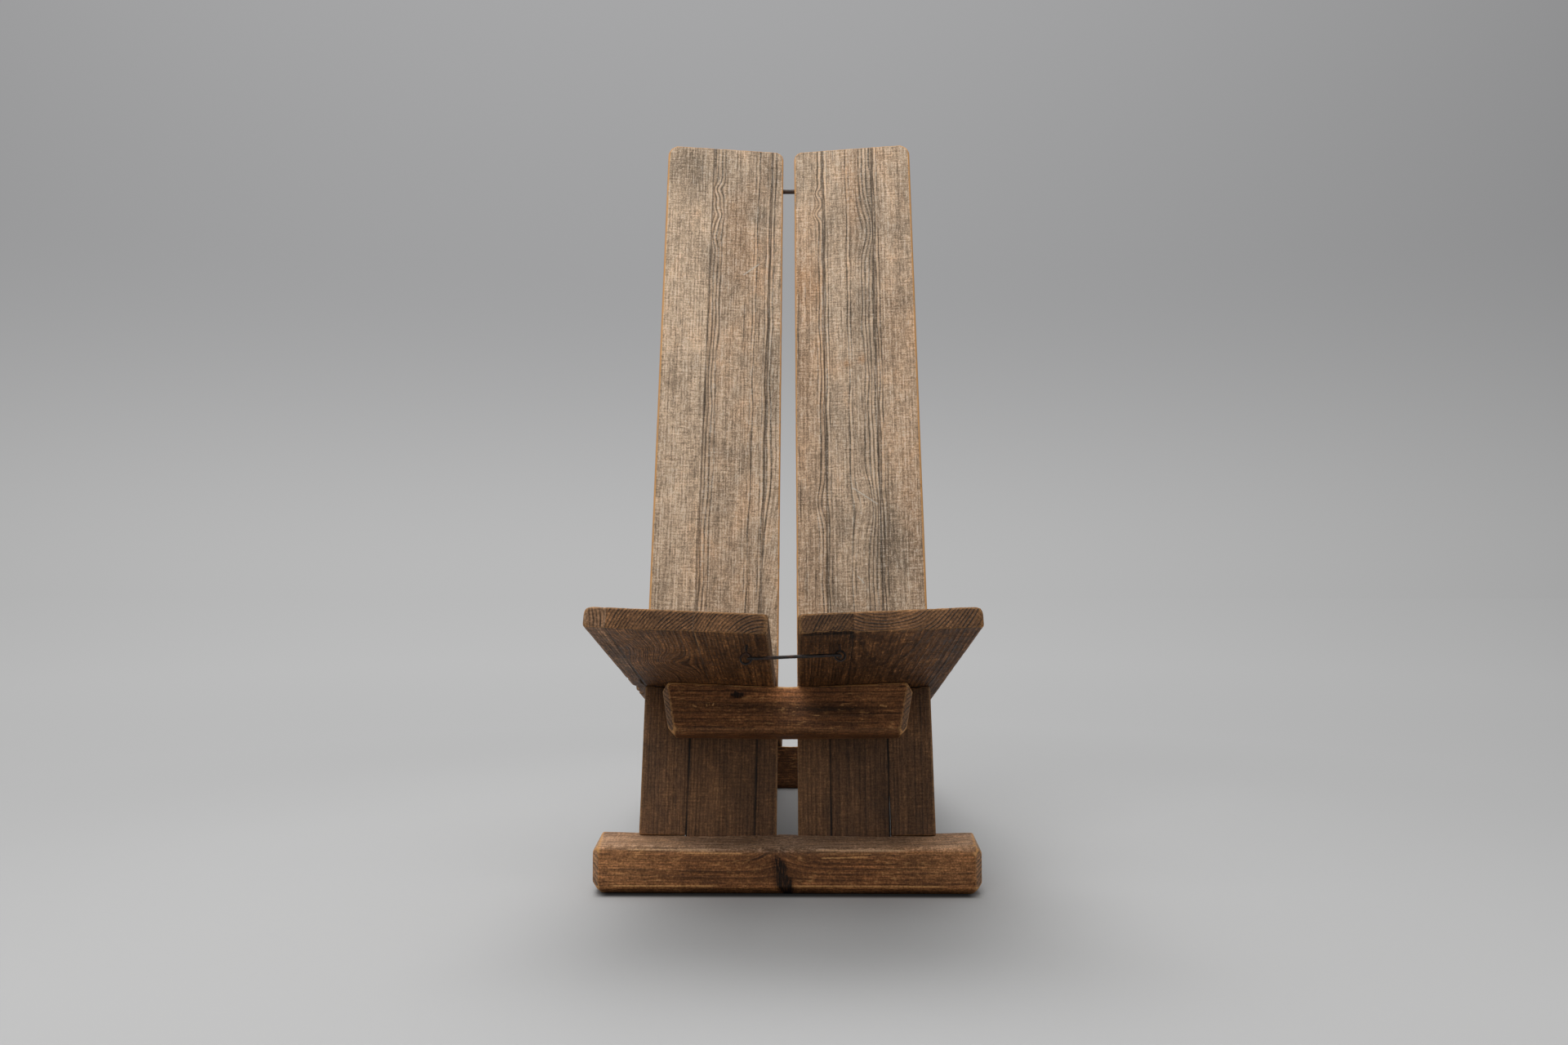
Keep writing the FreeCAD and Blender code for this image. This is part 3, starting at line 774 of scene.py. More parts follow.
def geometry_tree(name, inputs):
    """A geometry node tree: its graph, what comes from its inputs, and the inputs' identifiers."""
    tree = bpy.data.node_groups.new(name, "GeometryNodeTree")
    identifiers = {}
    for label, kind in inputs:
        item = tree.interface.new_socket(label, in_out="INPUT", socket_type="NodeSocket" + kind)
        identifiers[label] = item.identifier
    tree.interface.new_socket("Geometry", in_out="OUTPUT", socket_type="NodeSocketGeometry")
    graph = Graph(tree)
    return graph, graph.node("NodeGroupInput").outputs, identifiers


def finish_tree(graph, geometry, finish):
    """Ends a geometry node tree with real meshes that carry the finish."""
    realize = graph.node("GeometryNodeRealizeInstances")
    graph.feed(realize, Geometry=geometry)
    paint = graph.node("GeometryNodeSetMaterial")
    graph.feed(paint, Geometry=realize.outputs[0], Material=finish)
    output = graph.node("NodeGroupOutput")
    graph.put(output.inputs[0], paint.outputs[0])


def worn_surface_tree():
    """Wears a closed mesh: edges go back in dents, faces get shallow hollows."""
    graph, given, identifiers = geometry_tree(
        "Worn Surface",
        (
            ("Geometry", "Geometry"),
            ("Arris Wear", "Float"),
            ("Wear Reach", "Float"),
            ("Chip Length", "Float"),
            ("Hollows", "Float"),
            ("Hollow Size", "Float"),
            ("Seed", "Int"),
            ("Finish", "Material"),
        ),
    )
    place = graph.node("GeometryNodeInputPosition").outputs[0]
    normal = graph.node("GeometryNodeInputNormal").outputs[0]
    blur = graph.node("GeometryNodeBlurAttribute", data_type="FLOAT_VECTOR")
    graph.feed(blur, Value=place, Iterations=5)
    blurred = graph.socket(blur.outputs, "Value")
    proud = graph.vector("DOT_PRODUCT", graph.vector("SUBTRACT", place, blurred), normal)
    sharp = graph.ramp(proud, 0.0, given["Wear Reach"], 0.0, 1.0, smooth=False)

    shift = graph.math("MULTIPLY", given["Seed"], NOISE_SHIFT)
    moved = graph.vector("ADD", place, graph.combine(shift, 0.0, shift))
    chip_place = graph.scaled(moved, graph.math("DIVIDE", 1.0, given["Chip Length"]))
    chips = graph.ramp(graph.noise(chip_place, (3.0, 1.0, 3.0), 3.0, 0.6), 0.38, 0.72, 0.12, 1.0)
    hollow_place = graph.scaled(moved, graph.math("DIVIDE", 1.0, given["Hollow Size"]))
    hollows = graph.ramp(graph.noise(hollow_place, (2.0, 0.6, 1.0), 2.0), 0.3, 0.75)
    depth = graph.product(sharp, chips, given["Arris Wear"])
    depth = graph.math("MULTIPLY_ADD", hollows, given["Hollows"], depth)

    stored = given["Geometry"]
    for name, kind, value in (("board", "FLOAT_VECTOR", place), ("wear", "FLOAT", sharp)):
        keep = graph.node("GeometryNodeStoreNamedAttribute", data_type=kind, domain="POINT")
        graph.feed(keep, Geometry=stored, Name=name, Value=value)
        stored = keep.outputs[0]
    move = graph.node("GeometryNodeSetPosition")
    graph.feed(move, Geometry=stored, Offset=graph.scaled(normal, graph.math("MULTIPLY", depth, -1.0)))
    smooth = graph.node("GeometryNodeSetShadeSmooth")
    graph.feed(smooth, Geometry=move.outputs[0])
    finish_tree(graph, smooth.outputs[0], given["Finish"])
    return graph.tree, identifiers


def merged_copy(node, matrix):
    """A closed mesh of a CAD node in the frame of a matrix."""
    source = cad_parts[node].data
    made = bpy.data.meshes.new(node + "_copy")
    solid = bmesh.new()
    solid.from_mesh(source)
    bmesh.ops.remove_doubles(solid, verts=solid.verts, dist=MERGE_DISTANCE)
    solid.to_mesh(made)
    solid.free()
    made.transform(matrix.inverted())
    made.materials.clear()
    return made


def evaluated_mesh(piece):
    """The piece's mesh with its modifiers applied, as a plain mesh."""
    graph = bpy.context.evaluated_depsgraph_get()
    graph.update()
    return bpy.data.meshes.new_from_object(
        piece.evaluated_get(graph), preserve_all_data_layers=True, depsgraph=graph
    )


def linked(piece):
    bpy.context.scene.collection.objects.link(piece)
    return piece


# Identifiers of the inputs of the tree that wears a surface, filled when it is first built
WEAR_SOCKETS = {}


def worn_copy(name, blank_mesh, material, mesh_size, wear, seed):
    """A worn copy of a closed mesh: fine even mesh, worn by geometry nodes. Still in its own frame."""
    blank = linked(bpy.data.objects.new(name + "_blank", blank_mesh))
    remesh = blank.modifiers.new("Even Mesh", "REMESH")
    remesh.mode = "VOXEL"
    remesh.voxel_size = mesh_size
    tree = bpy.data.node_groups.get("Worn Surface")
    if tree is None:
        tree, identifiers = worn_surface_tree()
        WEAR_SOCKETS.update(identifiers)
    modifier = blank.modifiers.new("Worn Surface", "NODES")
    modifier.node_group = tree
    for label, value in wear.items():
        modifier[WEAR_SOCKETS[label]] = value
    modifier[WEAR_SOCKETS["Seed"]] = seed
    modifier[WEAR_SOCKETS["Finish"]] = material
    mesh = evaluated_mesh(blank)
    mesh.name = name
    bpy.data.objects.remove(blank)
    return mesh


def vertex_array(mesh, name=None, width=3):
    """Vertex places, or a stored attribute, as an array."""
    values = np.zeros(len(mesh.vertices) * width, np.float32)
    if name is None:
        mesh.vertices.foreach_get("co", values)
    else:
        field = "vector" if width == 3 else "value"
        mesh.attributes[name].data.foreach_get(field, values)
    return values.reshape(-1, width).astype(float)


def store(mesh, name, values):
    """Keeps one number or one vector for each vertex."""
    kind, field = ("FLOAT_VECTOR", "vector") if values.ndim == 2 else ("FLOAT", "value")
    attribute = mesh.attributes.get(name) or mesh.attributes.new(name, kind, "POINT")
    attribute.data.foreach_set(field, values.astype(np.float32).ravel())


def vertex_normals(mesh):
    values = np.zeros(len(mesh.vertices) * 3, np.float32)
    mesh.vertices.foreach_get("normal", values)
    return values.reshape(-1, 3).astype(float)


def smooth_step(values, low, high):
    """0 up to low, 1 from high, with a soft start and end between."""
    share = np.clip((values - low) / (high - low), 0, 1)
    return share * share * (3 - 2 * share)


def reach_over_seams(mesh, side, seams, start, length, shown_gap, reach):
    """Moves a stave's seam faces outwards by reach, and returns the planes that cut them back.

    So the wear, which rounds every edge, doesn't round the edges at a glued seam.
    """
    places = vertex_array(mesh)
    planes = []
    for low, high in seams:
        slope = (high - low) / length
        off = side * places[:, 0] - (low + slope * (places[:, 1] - start))
        on_seam = np.abs(off) < SEAM_GAP
        if not on_seam.any():
            continue
        outward = 1 if np.median(off[on_seam]) < 0 else -1
        places[on_seam, 0] += side * outward * reach
        point = Vector((side * (low - outward * shown_gap / 2), start, 0))
        planes.append((point, Vector((side * outward, -outward * slope, 0)).normalized()))
    mesh.vertices.foreach_set("co", places.astype(np.float32).ravel())
    return planes


def cut_back(mesh, planes):
    """Cuts a mesh at planes, closes it flat there, and keeps the new edges crisp."""
    solid = bmesh.new()
    solid.from_mesh(mesh)
    for point, normal in planes:
        cut = bmesh.ops.bisect_plane(
            solid,
            geom=solid.verts[:] + solid.edges[:] + solid.faces[:],
            plane_co=point,
            plane_no=normal,
            clear_outer=True,
        )
        rim = [item for item in cut["geom_cut"] if isinstance(item, bmesh.types.BMEdge)]
        filled = bmesh.ops.holes_fill(solid, edges=rim, sides=0)
        for face in filled["faces"]:
            face.smooth = False
            for edge in face.edges:
                edge.smooth = False
    solid.to_mesh(mesh)
    solid.free()


@dataclass
class Stave:
    """How one piece of timber was cut from its tree, and what marks it has, in metres.

    heart: the tree's heart, across from the board's inner edge and up from its Z 0.
    lean: how far the heart drifts outwards over a metre of length.
    front: marks are placed on the front, by height, and not on the face, by distance across.
    knots: (place, along, radius, radius along, lean). waves: (place, along, push, width, length).
    bands: dark bundles of rings, (place at the start, place at the end, half width).
    tone: tan above 0, grey below. light: stops of light.
    tones, and the stains with spots of light: spots of tone and of light, (place, along, width, length,
    amount). Most spots of light are stains; a few are painted highlights and painted shade.
    scratches: (place, along) of both ends.
    gouges: (across, up, along), radii the same way, and (push across, push up).
    grey: how much more it is bleached. rim: how golden its rounded edges are rubbed.
    """

    node: str
    heart: tuple
    lean: float = 0.0
    front: bool = False
    knots: tuple = ()
    waves: tuple = ()
    bands: tuple = ()
    tone: float = 0.0
    light: float = 0.0
    tones: tuple = ()
    stains: tuple = ()
    scratches: tuple = ()
    gouges: tuple = ()
    grey: float = 0.0
    rim: float = 0.0


# Distance that stands for no mark near
FAR_OFF = 9.0

# Stops of light that end grain has more than the faces, and the rings' spacing in a dark bundle
END_LIGHT = 0.22
BUNDLE_SPACING = 0.0056

# A seam's rim starts to be rubbed golden, and is fully, this far from the seam
RIM_OFF_SEAM = (0.0015, 0.0040)

# Tilt of a surface out of the face, 0 to 1: an arris starts, is full, ends and is over
ARRIS_START = (0.03, 0.35)
ARRIS_END = (0.60, 0.90)

# Share of a surface's facing along the grain at which it starts and is fully end grain
END_GRAIN = (0.45, 0.70)

# In mesh sizes: how far from an arris a face wears, and how far a stave is made past its seams
WEAR_REACH = 0.45
SEAM_REACH = 3

# Length of the shallow hollows in a face, and how far a seed moves the grain along
HOLLOW_SIZE = 0.06
SEED_SHIFT = 3.1

# How fast the raggedness of a dent runs across and along the board
GOUGE_WAVES = (400, 900)

# Where the back boards are darker above the seat, up from the floor, and how far it reaches: partly
# painted shade from the seat, partly soil
SEAT_SHADE_PLACE = 0.31
SEAT_SHADE_REACH = 0.13
BACK_SEAT_SHADE_AND_SOIL = {"left": -0.20, "right": -0.36}


def spots(place, along, base, marks):
    """A base value with a soft spot for each mark."""
    found = np.full(len(place), float(base))
    for centre, centre_along, width, length, amount in marks:
        near = ((place - centre) / width) ** 2 + ((along - centre_along) / length) ** 2
        found = found + amount * np.exp(-near)
    return found


def knot_field(place, along, knots):
    """Place in the nearest knot, in knot radii, and how far the rings are pushed aside."""
    nearest = np.full(len(place), FAR_OFF)
    field = np.full((len(place), 3), FAR_OFF)
    push = np.zeros(len(place))
    for centre, centre_along, radius, radius_along, lean in knots:
        off = place - centre
        run = along - centre_along - lean * off
        near = np.exp(-((off / (3.0 * radius)) ** 2) - (run / (3.2 * radius_along)) ** 2)
        push = push + 0.40 * off * near
        scaled = np.stack([off / radius, run / radius_along, np.zeros(len(off))], 1)
        distance = np.linalg.norm(scaled, axis=1)
        closer = distance < nearest
        field[closer] = scaled[closer]
        nearest = np.minimum(nearest, distance)
    return field, push


def scratch_field(place, along, scratches):
    """Distance from the nearest scratch's line, and the share along it from -0.5 to 0.5."""
    field = np.full((len(place), 3), FAR_OFF)
    nearest = np.full(len(place), FAR_OFF)
    for ends in scratches:
        first, last = (np.array(point) for point in ends)
        run = last - first
        length = np.linalg.norm(run)
        off = np.stack([place, along], 1) - (first + last) / 2
        beside = (off[:, 0] * run[1] - off[:, 1] * run[0]) / length
        share = off @ run / length**2
        distance = np.hypot(beside, np.maximum(np.abs(share) - 0.5, 0) * length)
        closer = distance < nearest
        field[closer, 0] = beside[closer]
        field[closer, 1] = share[closer]
        nearest = np.minimum(nearest, distance)
    return field


def bundle_field(place, along, share, bands):
    """Place in the nearest bundle of dark rings, in rings, place along, and how deep in the bundle."""
    field = np.stack([np.full(len(place), FAR_OFF), along, np.zeros(len(place))], 1)
    for low, high, half_width in bands:
        off = place - (low + (high - low) * share)
        depth = np.exp(-((off / half_width) ** 2))
        deeper = depth > field[:, 2]
        field[deeper, 0] = off[deeper] / BUNDLE_SPACING
        field[deeper, 2] = depth[deeper]
    return field


def mark_timber(mesh, stave, side, blank, normals, bleach, seed):
    """Stores what the pine material reads: ring places, knots, bundles, tone, seams and bleaching."""
    board = vertex_array(mesh, "board")
    across = side * board[:, 0]
    along = board[:, 1]
    height = board[:, 2]
    place = height if stave.front else across
    share = (along - blank["start"]) / blank["length"]
    knot_place, push = knot_field(place, along, stave.knots)
    for centre, centre_along, amount, width, length in stave.waves:
        push = push + spots(place, along, 0, [(centre, centre_along, width, length, amount)])
    turned = across - stave.heart[0] - stave.lean * along
    raised = height - stave.heart[1]
    if stave.front:
        raised = raised - push
    else:
        turned = turned - push
    store(mesh, "rings", np.stack([turned, raised, along + SEED_SHIFT * seed], 1))
    store(mesh, "knot_place", knot_place)
    store(mesh, "scratch_place", scratch_field(place, along, stave.scratches))
    store(mesh, "bundle", bundle_field(place - push, along, share, stave.bands))

    end = smooth_step(np.abs(normals[:, 1]), *END_GRAIN)
    # A darker band above the seat: partly painted shade from the seat, partly soil
    seat_shade_and_soil = blank["seat_shade_and_soil"] * np.exp(-(((along - SEAT_SHADE_PLACE) / SEAT_SHADE_REACH) ** 2))
    light = spots(place, along, stave.light, stave.stains)
    store(mesh, "end", end)
    # Stops of stains and spots of light, the darker band above the seat and lighter end grain: partly
    # painted highlight and painted shade
    store(mesh, "light_and_stains", light + seat_shade_and_soil + END_LIGHT * end)
    store(mesh, "tone", spots(place, along, stave.tone, stave.tones))
    store(mesh, "bleach", np.clip(bleach + stave.grey, 0, 1))

    gap = np.full(len(board), FAR_OFF)
    for low, high in blank["seams"]:
        gap = np.minimum(gap, np.abs(across - (low + (high - low) * share)))
    tilt = 1 - np.abs(normals[:, 2])
    arris = smooth_step(tilt, *ARRIS_START) * (1 - 0.85 * smooth_step(tilt, *ARRIS_END))
    rim = stave.rim * arris * (0.3 + 0.7 * bleach) * smooth_step(gap, *RIM_OFF_SEAM)
    store(mesh, "seam_gap", gap)
    store(mesh, "seam_dirt", np.full(len(board), blank["dirt"]) * (1 - 0.55 * bleach))
    store(mesh, "rim", rim)


def gouge(mesh, side, gouges):
    """Presses dents and breaks in, placed in the board's frame."""
    if not gouges:
        return
    board = vertex_array(mesh, "board")
    places = vertex_array(mesh)
    for centre, radii, push in gouges:
        own = np.stack([side * board[:, 0], board[:, 2], board[:, 1]], 1)
        distance = (((own - np.array(centre)) / np.array(radii)) ** 2).sum(1)
        ragged = 0.75 + 0.25 * np.sin(own[:, 2] * GOUGE_WAVES[1] + own[:, 0] * GOUGE_WAVES[0])
        amount = np.clip(1 - distance, 0, 1) ** 0.7 * ragged
        places[:, 0] += side * push[0] * amount
        places[:, 2] += push[1] * amount
    mesh.vertices.foreach_set("co", places.astype(np.float32).ravel())
    mesh.update()


def timber_piece(stave, side, matrix, material, blank, bleach_rule, settings, seed):
    """One stave or rail of worn timber in place of its CAD node.

    blank holds what all staves of a board share: where it starts along the grain and its length,
    its seams, how far open and how dirty they are, and how much darker it is above the seat, partly
    painted shade and partly soil.
    """
    timber = settings.timber
    size = timber.mesh_size * 1.0
    name = "worn_" + stave.node
    wear = {
        "Arris Wear": timber.arris_wear,
        "Wear Reach": WEAR_REACH * size,
        "Chip Length": timber.chip_length,
        "Hollows": timber.hollows,
        "Hollow Size": HOLLOW_SIZE,
    }
    blank_mesh = merged_copy(stave.node, matrix)
    planes = reach_over_seams(
        blank_mesh, side, blank["seams"], blank["start"], blank["length"], blank["gap"],
        SEAM_REACH * size,
    )
    mesh = worn_copy(name, blank_mesh, material, size, wear, seed)
    cut_back(mesh, planes)
    normals = vertex_normals(mesh)
    bleach = bleach_rule(vertex_array(mesh, "board"), normals, side)
    mark_timber(mesh, stave, side, blank, normals, bleach, seed)
    gouge(mesh, side, stave.gouges)
    mesh.transform(matrix)
    piece = linked(bpy.data.objects.new(name, mesh))
    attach(piece, "root")
    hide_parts(stave.node)
    return piece


# Seams in each board: from its inner edge at its lower or front end and at its other end.
# The CAD seams are open by the first width, and show by the others in the back and the seat.
SEAM_GAP = 0.0004
BACK_SEAM_SHOWN = 0.00025
SEAT_SEAM_SHOWN = 0.00010
BACK_SEAMS = {
    "left": ((0.0297, 0.0162), (0.1177, 0.1065)),
    "right": ((0.0435, 0.0433), (0.1190, 0.1180)),
}
SEAT_SEAMS = {
    "left": ((0.0770, 0.1000), (0.1672, 0.1820)),
    "right": ((0.0575, 0.0800),),
}

BACK_STAVES = {
    "left": (
        Stave(
            "back_left_inner_stave",
            (-0.060, -0.070),
            lean=-0.030,
            waves=((0.016, 0.320, 0.014, 0.030, 0.100), (0.010, 0.560, -0.004, 0.020, 0.060)),
            bands=((0.0262, 0.0130, 0.0042),),
            rim=0.8,
        ),
        Stave(
            "back_left_middle_stave",
            (-0.050, -0.060),
            lean=-0.004,
            tone=0.10,
            light=-0.04,
            waves=(
                (0.099, 1.007, 0.0062, 0.010, 0.010), (0.098, 0.962, -0.0045, 0.010, 0.010),
                (0.102, 0.925, 0.0035, 0.010, 0.014),
            ),
            bands=((0.1125, 0.0960, 0.0085), (0.052, 0.038, 0.0028), (0.0335, 0.0200, 0.0030)),
            rim=1.2,
            tones=(
                (0.085, 1.040, 0.035, 0.035, -0.6), (0.060, 0.930, 0.030, 0.090, 0.50),
                (0.040, 0.960, 0.020, 0.030, -0.4),
            ),
            stains=(
                (0.105, 0.180, 0.014, 0.060, -0.20), (0.045, 0.130, 0.020, 0.080, -0.2),
                (0.075, 0.120, 0.030, 0.050, 0.20), (0.088, 1.020, 0.024, 0.040, -0.25),
            ),
            scratches=(((0.060, 0.862), (0.034, 0.884)),),
        ),
        Stave(
            "back_left_outer_stave_upper",
            (0.330, -0.060),
            tone=-0.12,
            light=0.18,
            rim=3.0,
            tones=((0.128, 1.035, 0.030, 0.045, -0.8),),
            stains=((0.126, 1.030, 0.024, 0.040, -0.55),),
        ),
        Stave(
            "back_left_outer_stave_lower",
            (0.330, -0.060),
            stains=((0.125, 0.200, 0.020, 0.060, -0.3),),
        ),
    ),
    "right": (
        Stave(
            "back_right_inner_stave",
            (0.130, -0.080),
            lean=0.004,
            tone=0.25,
            waves=(
                (0.037, 0.968, -0.0085, 0.010, 0.009), (0.038, 1.003, -0.006, 0.010, 0.008),
                (0.036, 0.505, -0.006, 0.012, 0.024),
            ),
            bands=((0.0385, 0.0385, 0.0060),),
            rim=1.2,
            tones=(
                (0.014, 1.030, 0.035, 0.060, -0.7), (0.012, 0.848, 0.026, 0.045, 0.7),
                (0.012, 0.700, 0.026, 0.060, 0.3),
            ),
            stains=((0.014, 1.020, 0.030, 0.050, -0.15),),
        ),
        Stave(
            "back_right_middle_stave",
            (0.020, -0.095),
            lean=-0.006,
            tone=-0.04,
            waves=((0.110, 0.935, 0.010, 0.016, 0.040), (0.098, 0.500, 0.010, 0.016, 0.036)),
            bands=((0.109, 0.106, 0.0105), (0.0475, 0.0470, 0.0030), (0.079, 0.080, 0.0030)),
            rim=1.2,
            tones=(
                (0.088, 1.010, 0.014, 0.100, 0.60), (0.097, 0.723, 0.005, 0.007, 1.2),
                (0.075, 0.718, 0.006, 0.005, 1.2), (0.100, 0.430, 0.030, 0.080, -0.5),
            ),
            stains=(
                (0.066, 0.190, 0.010, 0.060, -0.3), (0.112, 0.090, 0.012, 0.050, -0.5),
                (0.115, 0.440, 0.010, 0.060, -0.5), (0.113, 0.990, 0.004, 0.050, -0.35),
            ),
            scratches=(((0.0777, 0.529), (0.1169, 0.500)), ((0.084, 0.400), (0.094, 0.388))),
            gouges=(((0.119, -0.011, 0.080), (0.004, 0.030, 0.034), (-0.0011, 0.0)),),
        ),
        Stave(
            "back_right_outer_stave_upper",
            (0.290, -0.110),
            bands=((0.124, 0.1225, 0.0035),),
            tone=0.10,
            rim=3.0,
            tones=(
                (0.135, 0.400, 0.020, 0.080, -0.6), (0.150, 0.760, 0.030, 0.080, 0.3),
                (0.160, 0.520, 0.020, 0.140, 0.4),
            ),
            stains=(
                (0.165, 0.995, 0.010, 0.020, -0.40), (0.145, 0.935, 0.018, 0.018, -0.35),
                (0.155, 0.813, 0.020, 0.022, -0.40), (0.121, 0.430, 0.010, 0.060, -0.7),
            ),
        ),
        Stave(
            "back_right_outer_stave_lower",
            (0.290, -0.110),
            gouges=(((0.119, -0.011, 0.080), (0.004, 0.030, 0.034), (0.0011, 0.0)),),
        ),
    ),
}

SEAT_STAVES = {
    "left": (
        Stave(
            "seat_left_inner_stave_front",
            (0.000, -0.030),
            light=-0.25,
            stains=((0.030, 0.030, 0.030, 0.014, -0.6), (0.030, 0.120, 0.025, 0.060, -0.4)),
            scratches=(((0.0752, 0.002), (0.0768, 0.085)),),
        ),
        Stave("seat_left_inner_stave_rear", (0.000, -0.030)),
        Stave(
            "seat_left_middle_stave",
            (0.020, -0.060),
            light=-0.05,
            waves=((0.118, 0.190, 0.022, 0.022, 0.055), (0.150, 0.110, -0.010, 0.025, 0.060)),
            stains=(
                (0.120, 0.020, 0.030, 0.016, -0.4), (0.130, 0.330, 0.060, 0.060, -0.4),
                (0.1700, 0.300, 0.0018, 0.050, -1.6), (0.1730, 0.340, 0.0030, 0.018, -3.0),
            ),
        ),
        Stave(
            "seat_left_outer_stave",
            (0.330, -0.020),
            grey=0.10,
            light=0.1,
            gouges=(
                ((0.1745, 0.000, 0.345), (0.010, 0.014, 0.024), (0.0040, 0.0)),
                ((0.191, 0.000, 0.330), (0.006, 0.010, 0.012), (-0.0025, 0.0010)),
                ((0.191, 0.000, 0.400), (0.010, 0.018, 0.024), (-0.0050, 0.0025)),
                ((0.191, 0.002, 0.440), (0.010, 0.014, 0.014), (-0.0060, 0.0020)),
            ),
        ),
    ),
    "right": (
        Stave(
            "seat_right_inner_stave_front",
            (0.120, -0.040),
            light=-0.60,
            stains=(
                (0.040, 0.070, 0.025, 0.060, -0.3), (0.0565, 0.020, 0.0030, 0.018, -3.0),
                # The next spot is painted shade: a black line under the chipped lower arris at the front
                # end
                (0.034, 0.006, 0.030, 0.0035, -2.5),
            ),
            gouges=(((0.035, 0.0, 0.001), (0.034, 0.004, 0.006), (0.0, 0.0028)),),
        ),
        Stave("seat_right_inner_stave_rear", (0.120, -0.040)),
        Stave(
            "seat_right_outer_stave",
            (0.090, 0.082),
            waves=((0.075, 0.200, 0.004, 0.020, 0.120),),
            light=-0.35,
            bands=((0.080, 0.094, 0.010),),
            stains=((0.150, 0.060, 0.040, 0.080, 0.15), (0.110, 0.330, 0.060, 0.080, -0.4)),
        ),
    ),
}

RAIL_STAVES = (
    Stave(
        "front_foot_rail",
        (-0.040, -0.080),
        front=True,
        knots=((-0.014, -0.003, 0.0235, 0.0082, -0.28),),
        rim=0.15,
        light=0.08,
        tones=((0.010, -0.200, 0.030, 0.060, 0.6), (0.010, 0.190, 0.030, 0.060, 0.5)),
        stains=(
            (0.012, -0.215, 0.016, 0.040, 0.45), (0.014, 0.200, 0.016, 0.040, 0.45),
            (0.026, 0.020, 0.010, 0.160, -0.25), (-0.018, -0.120, 0.010, 0.100, -0.25),
            (-0.022, 0.000, 0.004, 0.400, 0.55), (0.004, -0.040, 0.010, 0.090, -0.30),
            (0.000, 0.150, 0.012, 0.030, -0.30), (-0.012, 0.000, 0.014, 0.018, -0.5),
        ),
        scratches=(
            ((0.0245, -0.200), (0.0240, -0.090)), ((0.0235, 0.030), (0.0238, 0.150)),
            ((-0.0185, -0.020), (-0.0188, 0.200)), ((-0.0190, -0.220), (-0.0186, -0.080)),
            ((0.0205, -0.130), (0.0200, -0.050)), ((0.0150, 0.040), (0.0165, 0.100)),
        ),
    ),
    # The rear foot stands under the chair: its light of -0.7 stops is painted shade
    Stave("rear_foot_rail", (0.020, 0.080), front=True, light=-0.7),
    Stave(
        "seat_support_rail",
        (-0.030, -0.070),
        front=True,
        light=-0.15,
        rim=0.05,
        knots=((0.0235, -0.064, 0.0036, 0.0080, 0.0),),
        stains=(
            (0.006, 0.060, 0.0060, 0.055, -1.9), (0.008, -0.050, 0.0050, 0.045, -1.2),
            # Painted highlight: a bright spot at the top middle, where light falls through the seat's
            # gap
            (0.022, -0.014, 0.0100, 0.030, 0.8),
            (-0.012, 0.060, 0.0040, 0.080, -0.6), (0.010, -0.110, 0.006, 0.060, -0.4),
            # Painted shade along the bottom edge, and a second painted highlight at the top middle
            (-0.028, 0.000, 0.008, 0.300, -0.5), (0.033, 0.000, 0.012, 0.030, 0.9),
        ),
        scratches=(
            ((0.0105, -0.122), (0.0085, -0.116)), ((0.0125, -0.104), (0.0085, -0.103)),
            ((0.0135, -0.094), (0.0095, -0.096)), ((0.0110, 0.118), (0.0090, 0.128)),
        ),
    ),
)


# How bleached each vertex of a board is, 0 to 1, from its place, its normal and the board's side


def back_bleach(board, normals, side):
    above = smooth_step(board[:, 1], BLEACH_START, BLEACH_END)
    facing = np.clip(normals[:, 2], 0, 1)
    sideways = np.clip(1 - np.abs(normals[:, 2]), 0, 1)
    behind = np.clip(-normals[:, 2], 0, 1)
    return above * (facing + BACK_SIDES_BLEACH * sideways + BACK_REAR_BLEACH * behind)


def seat_bleach(board, normals, side):
    facing = np.clip(normals[:, 2], 0, 1)
    behind_front_edge = smooth_step(board[:, 1], 0.010, 0.050)
    outer_left = np.abs(normals[:, 0]) if side < 0 else 0.0
    top = (SEAT_FRONT_BLEACH + SEAT_TOP_BLEACH * behind_front_edge) * smooth_step(facing, 0.5, 0.95)
    return top + SEAT_LEFT_EDGE_BLEACH * outer_left


def rail_bleach(board, normals, side):
    return RAIL_TOP_BLEACH * smooth_step(normals[:, 2], 0.3, 0.95)


# Iron

IRON_WEAR = {
    "Arris Wear": 0.00008,
    "Wear Reach": 0.0004,
    "Chip Length": 0.004,
    "Hollows": 0.00016,
    "Hollow Size": 0.004,
}


def worn_iron(node, body, material, seed):
    """A forged, slightly uneven piece of iron in place of its CAD node."""
    low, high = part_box(node)
    middle = (low + high) / 2
    size = IRON_MESH_SIZE * 1.0
    name = "forged_" + node
    matrix = Matrix.Translation(middle)
    mesh = worn_copy(name, merged_copy(node, matrix), material, size, IRON_WEAR, seed)
    mesh.transform(matrix)
    piece = linked(bpy.data.objects.new(name, mesh))
    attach(piece, body)
    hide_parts(node)
    return piece


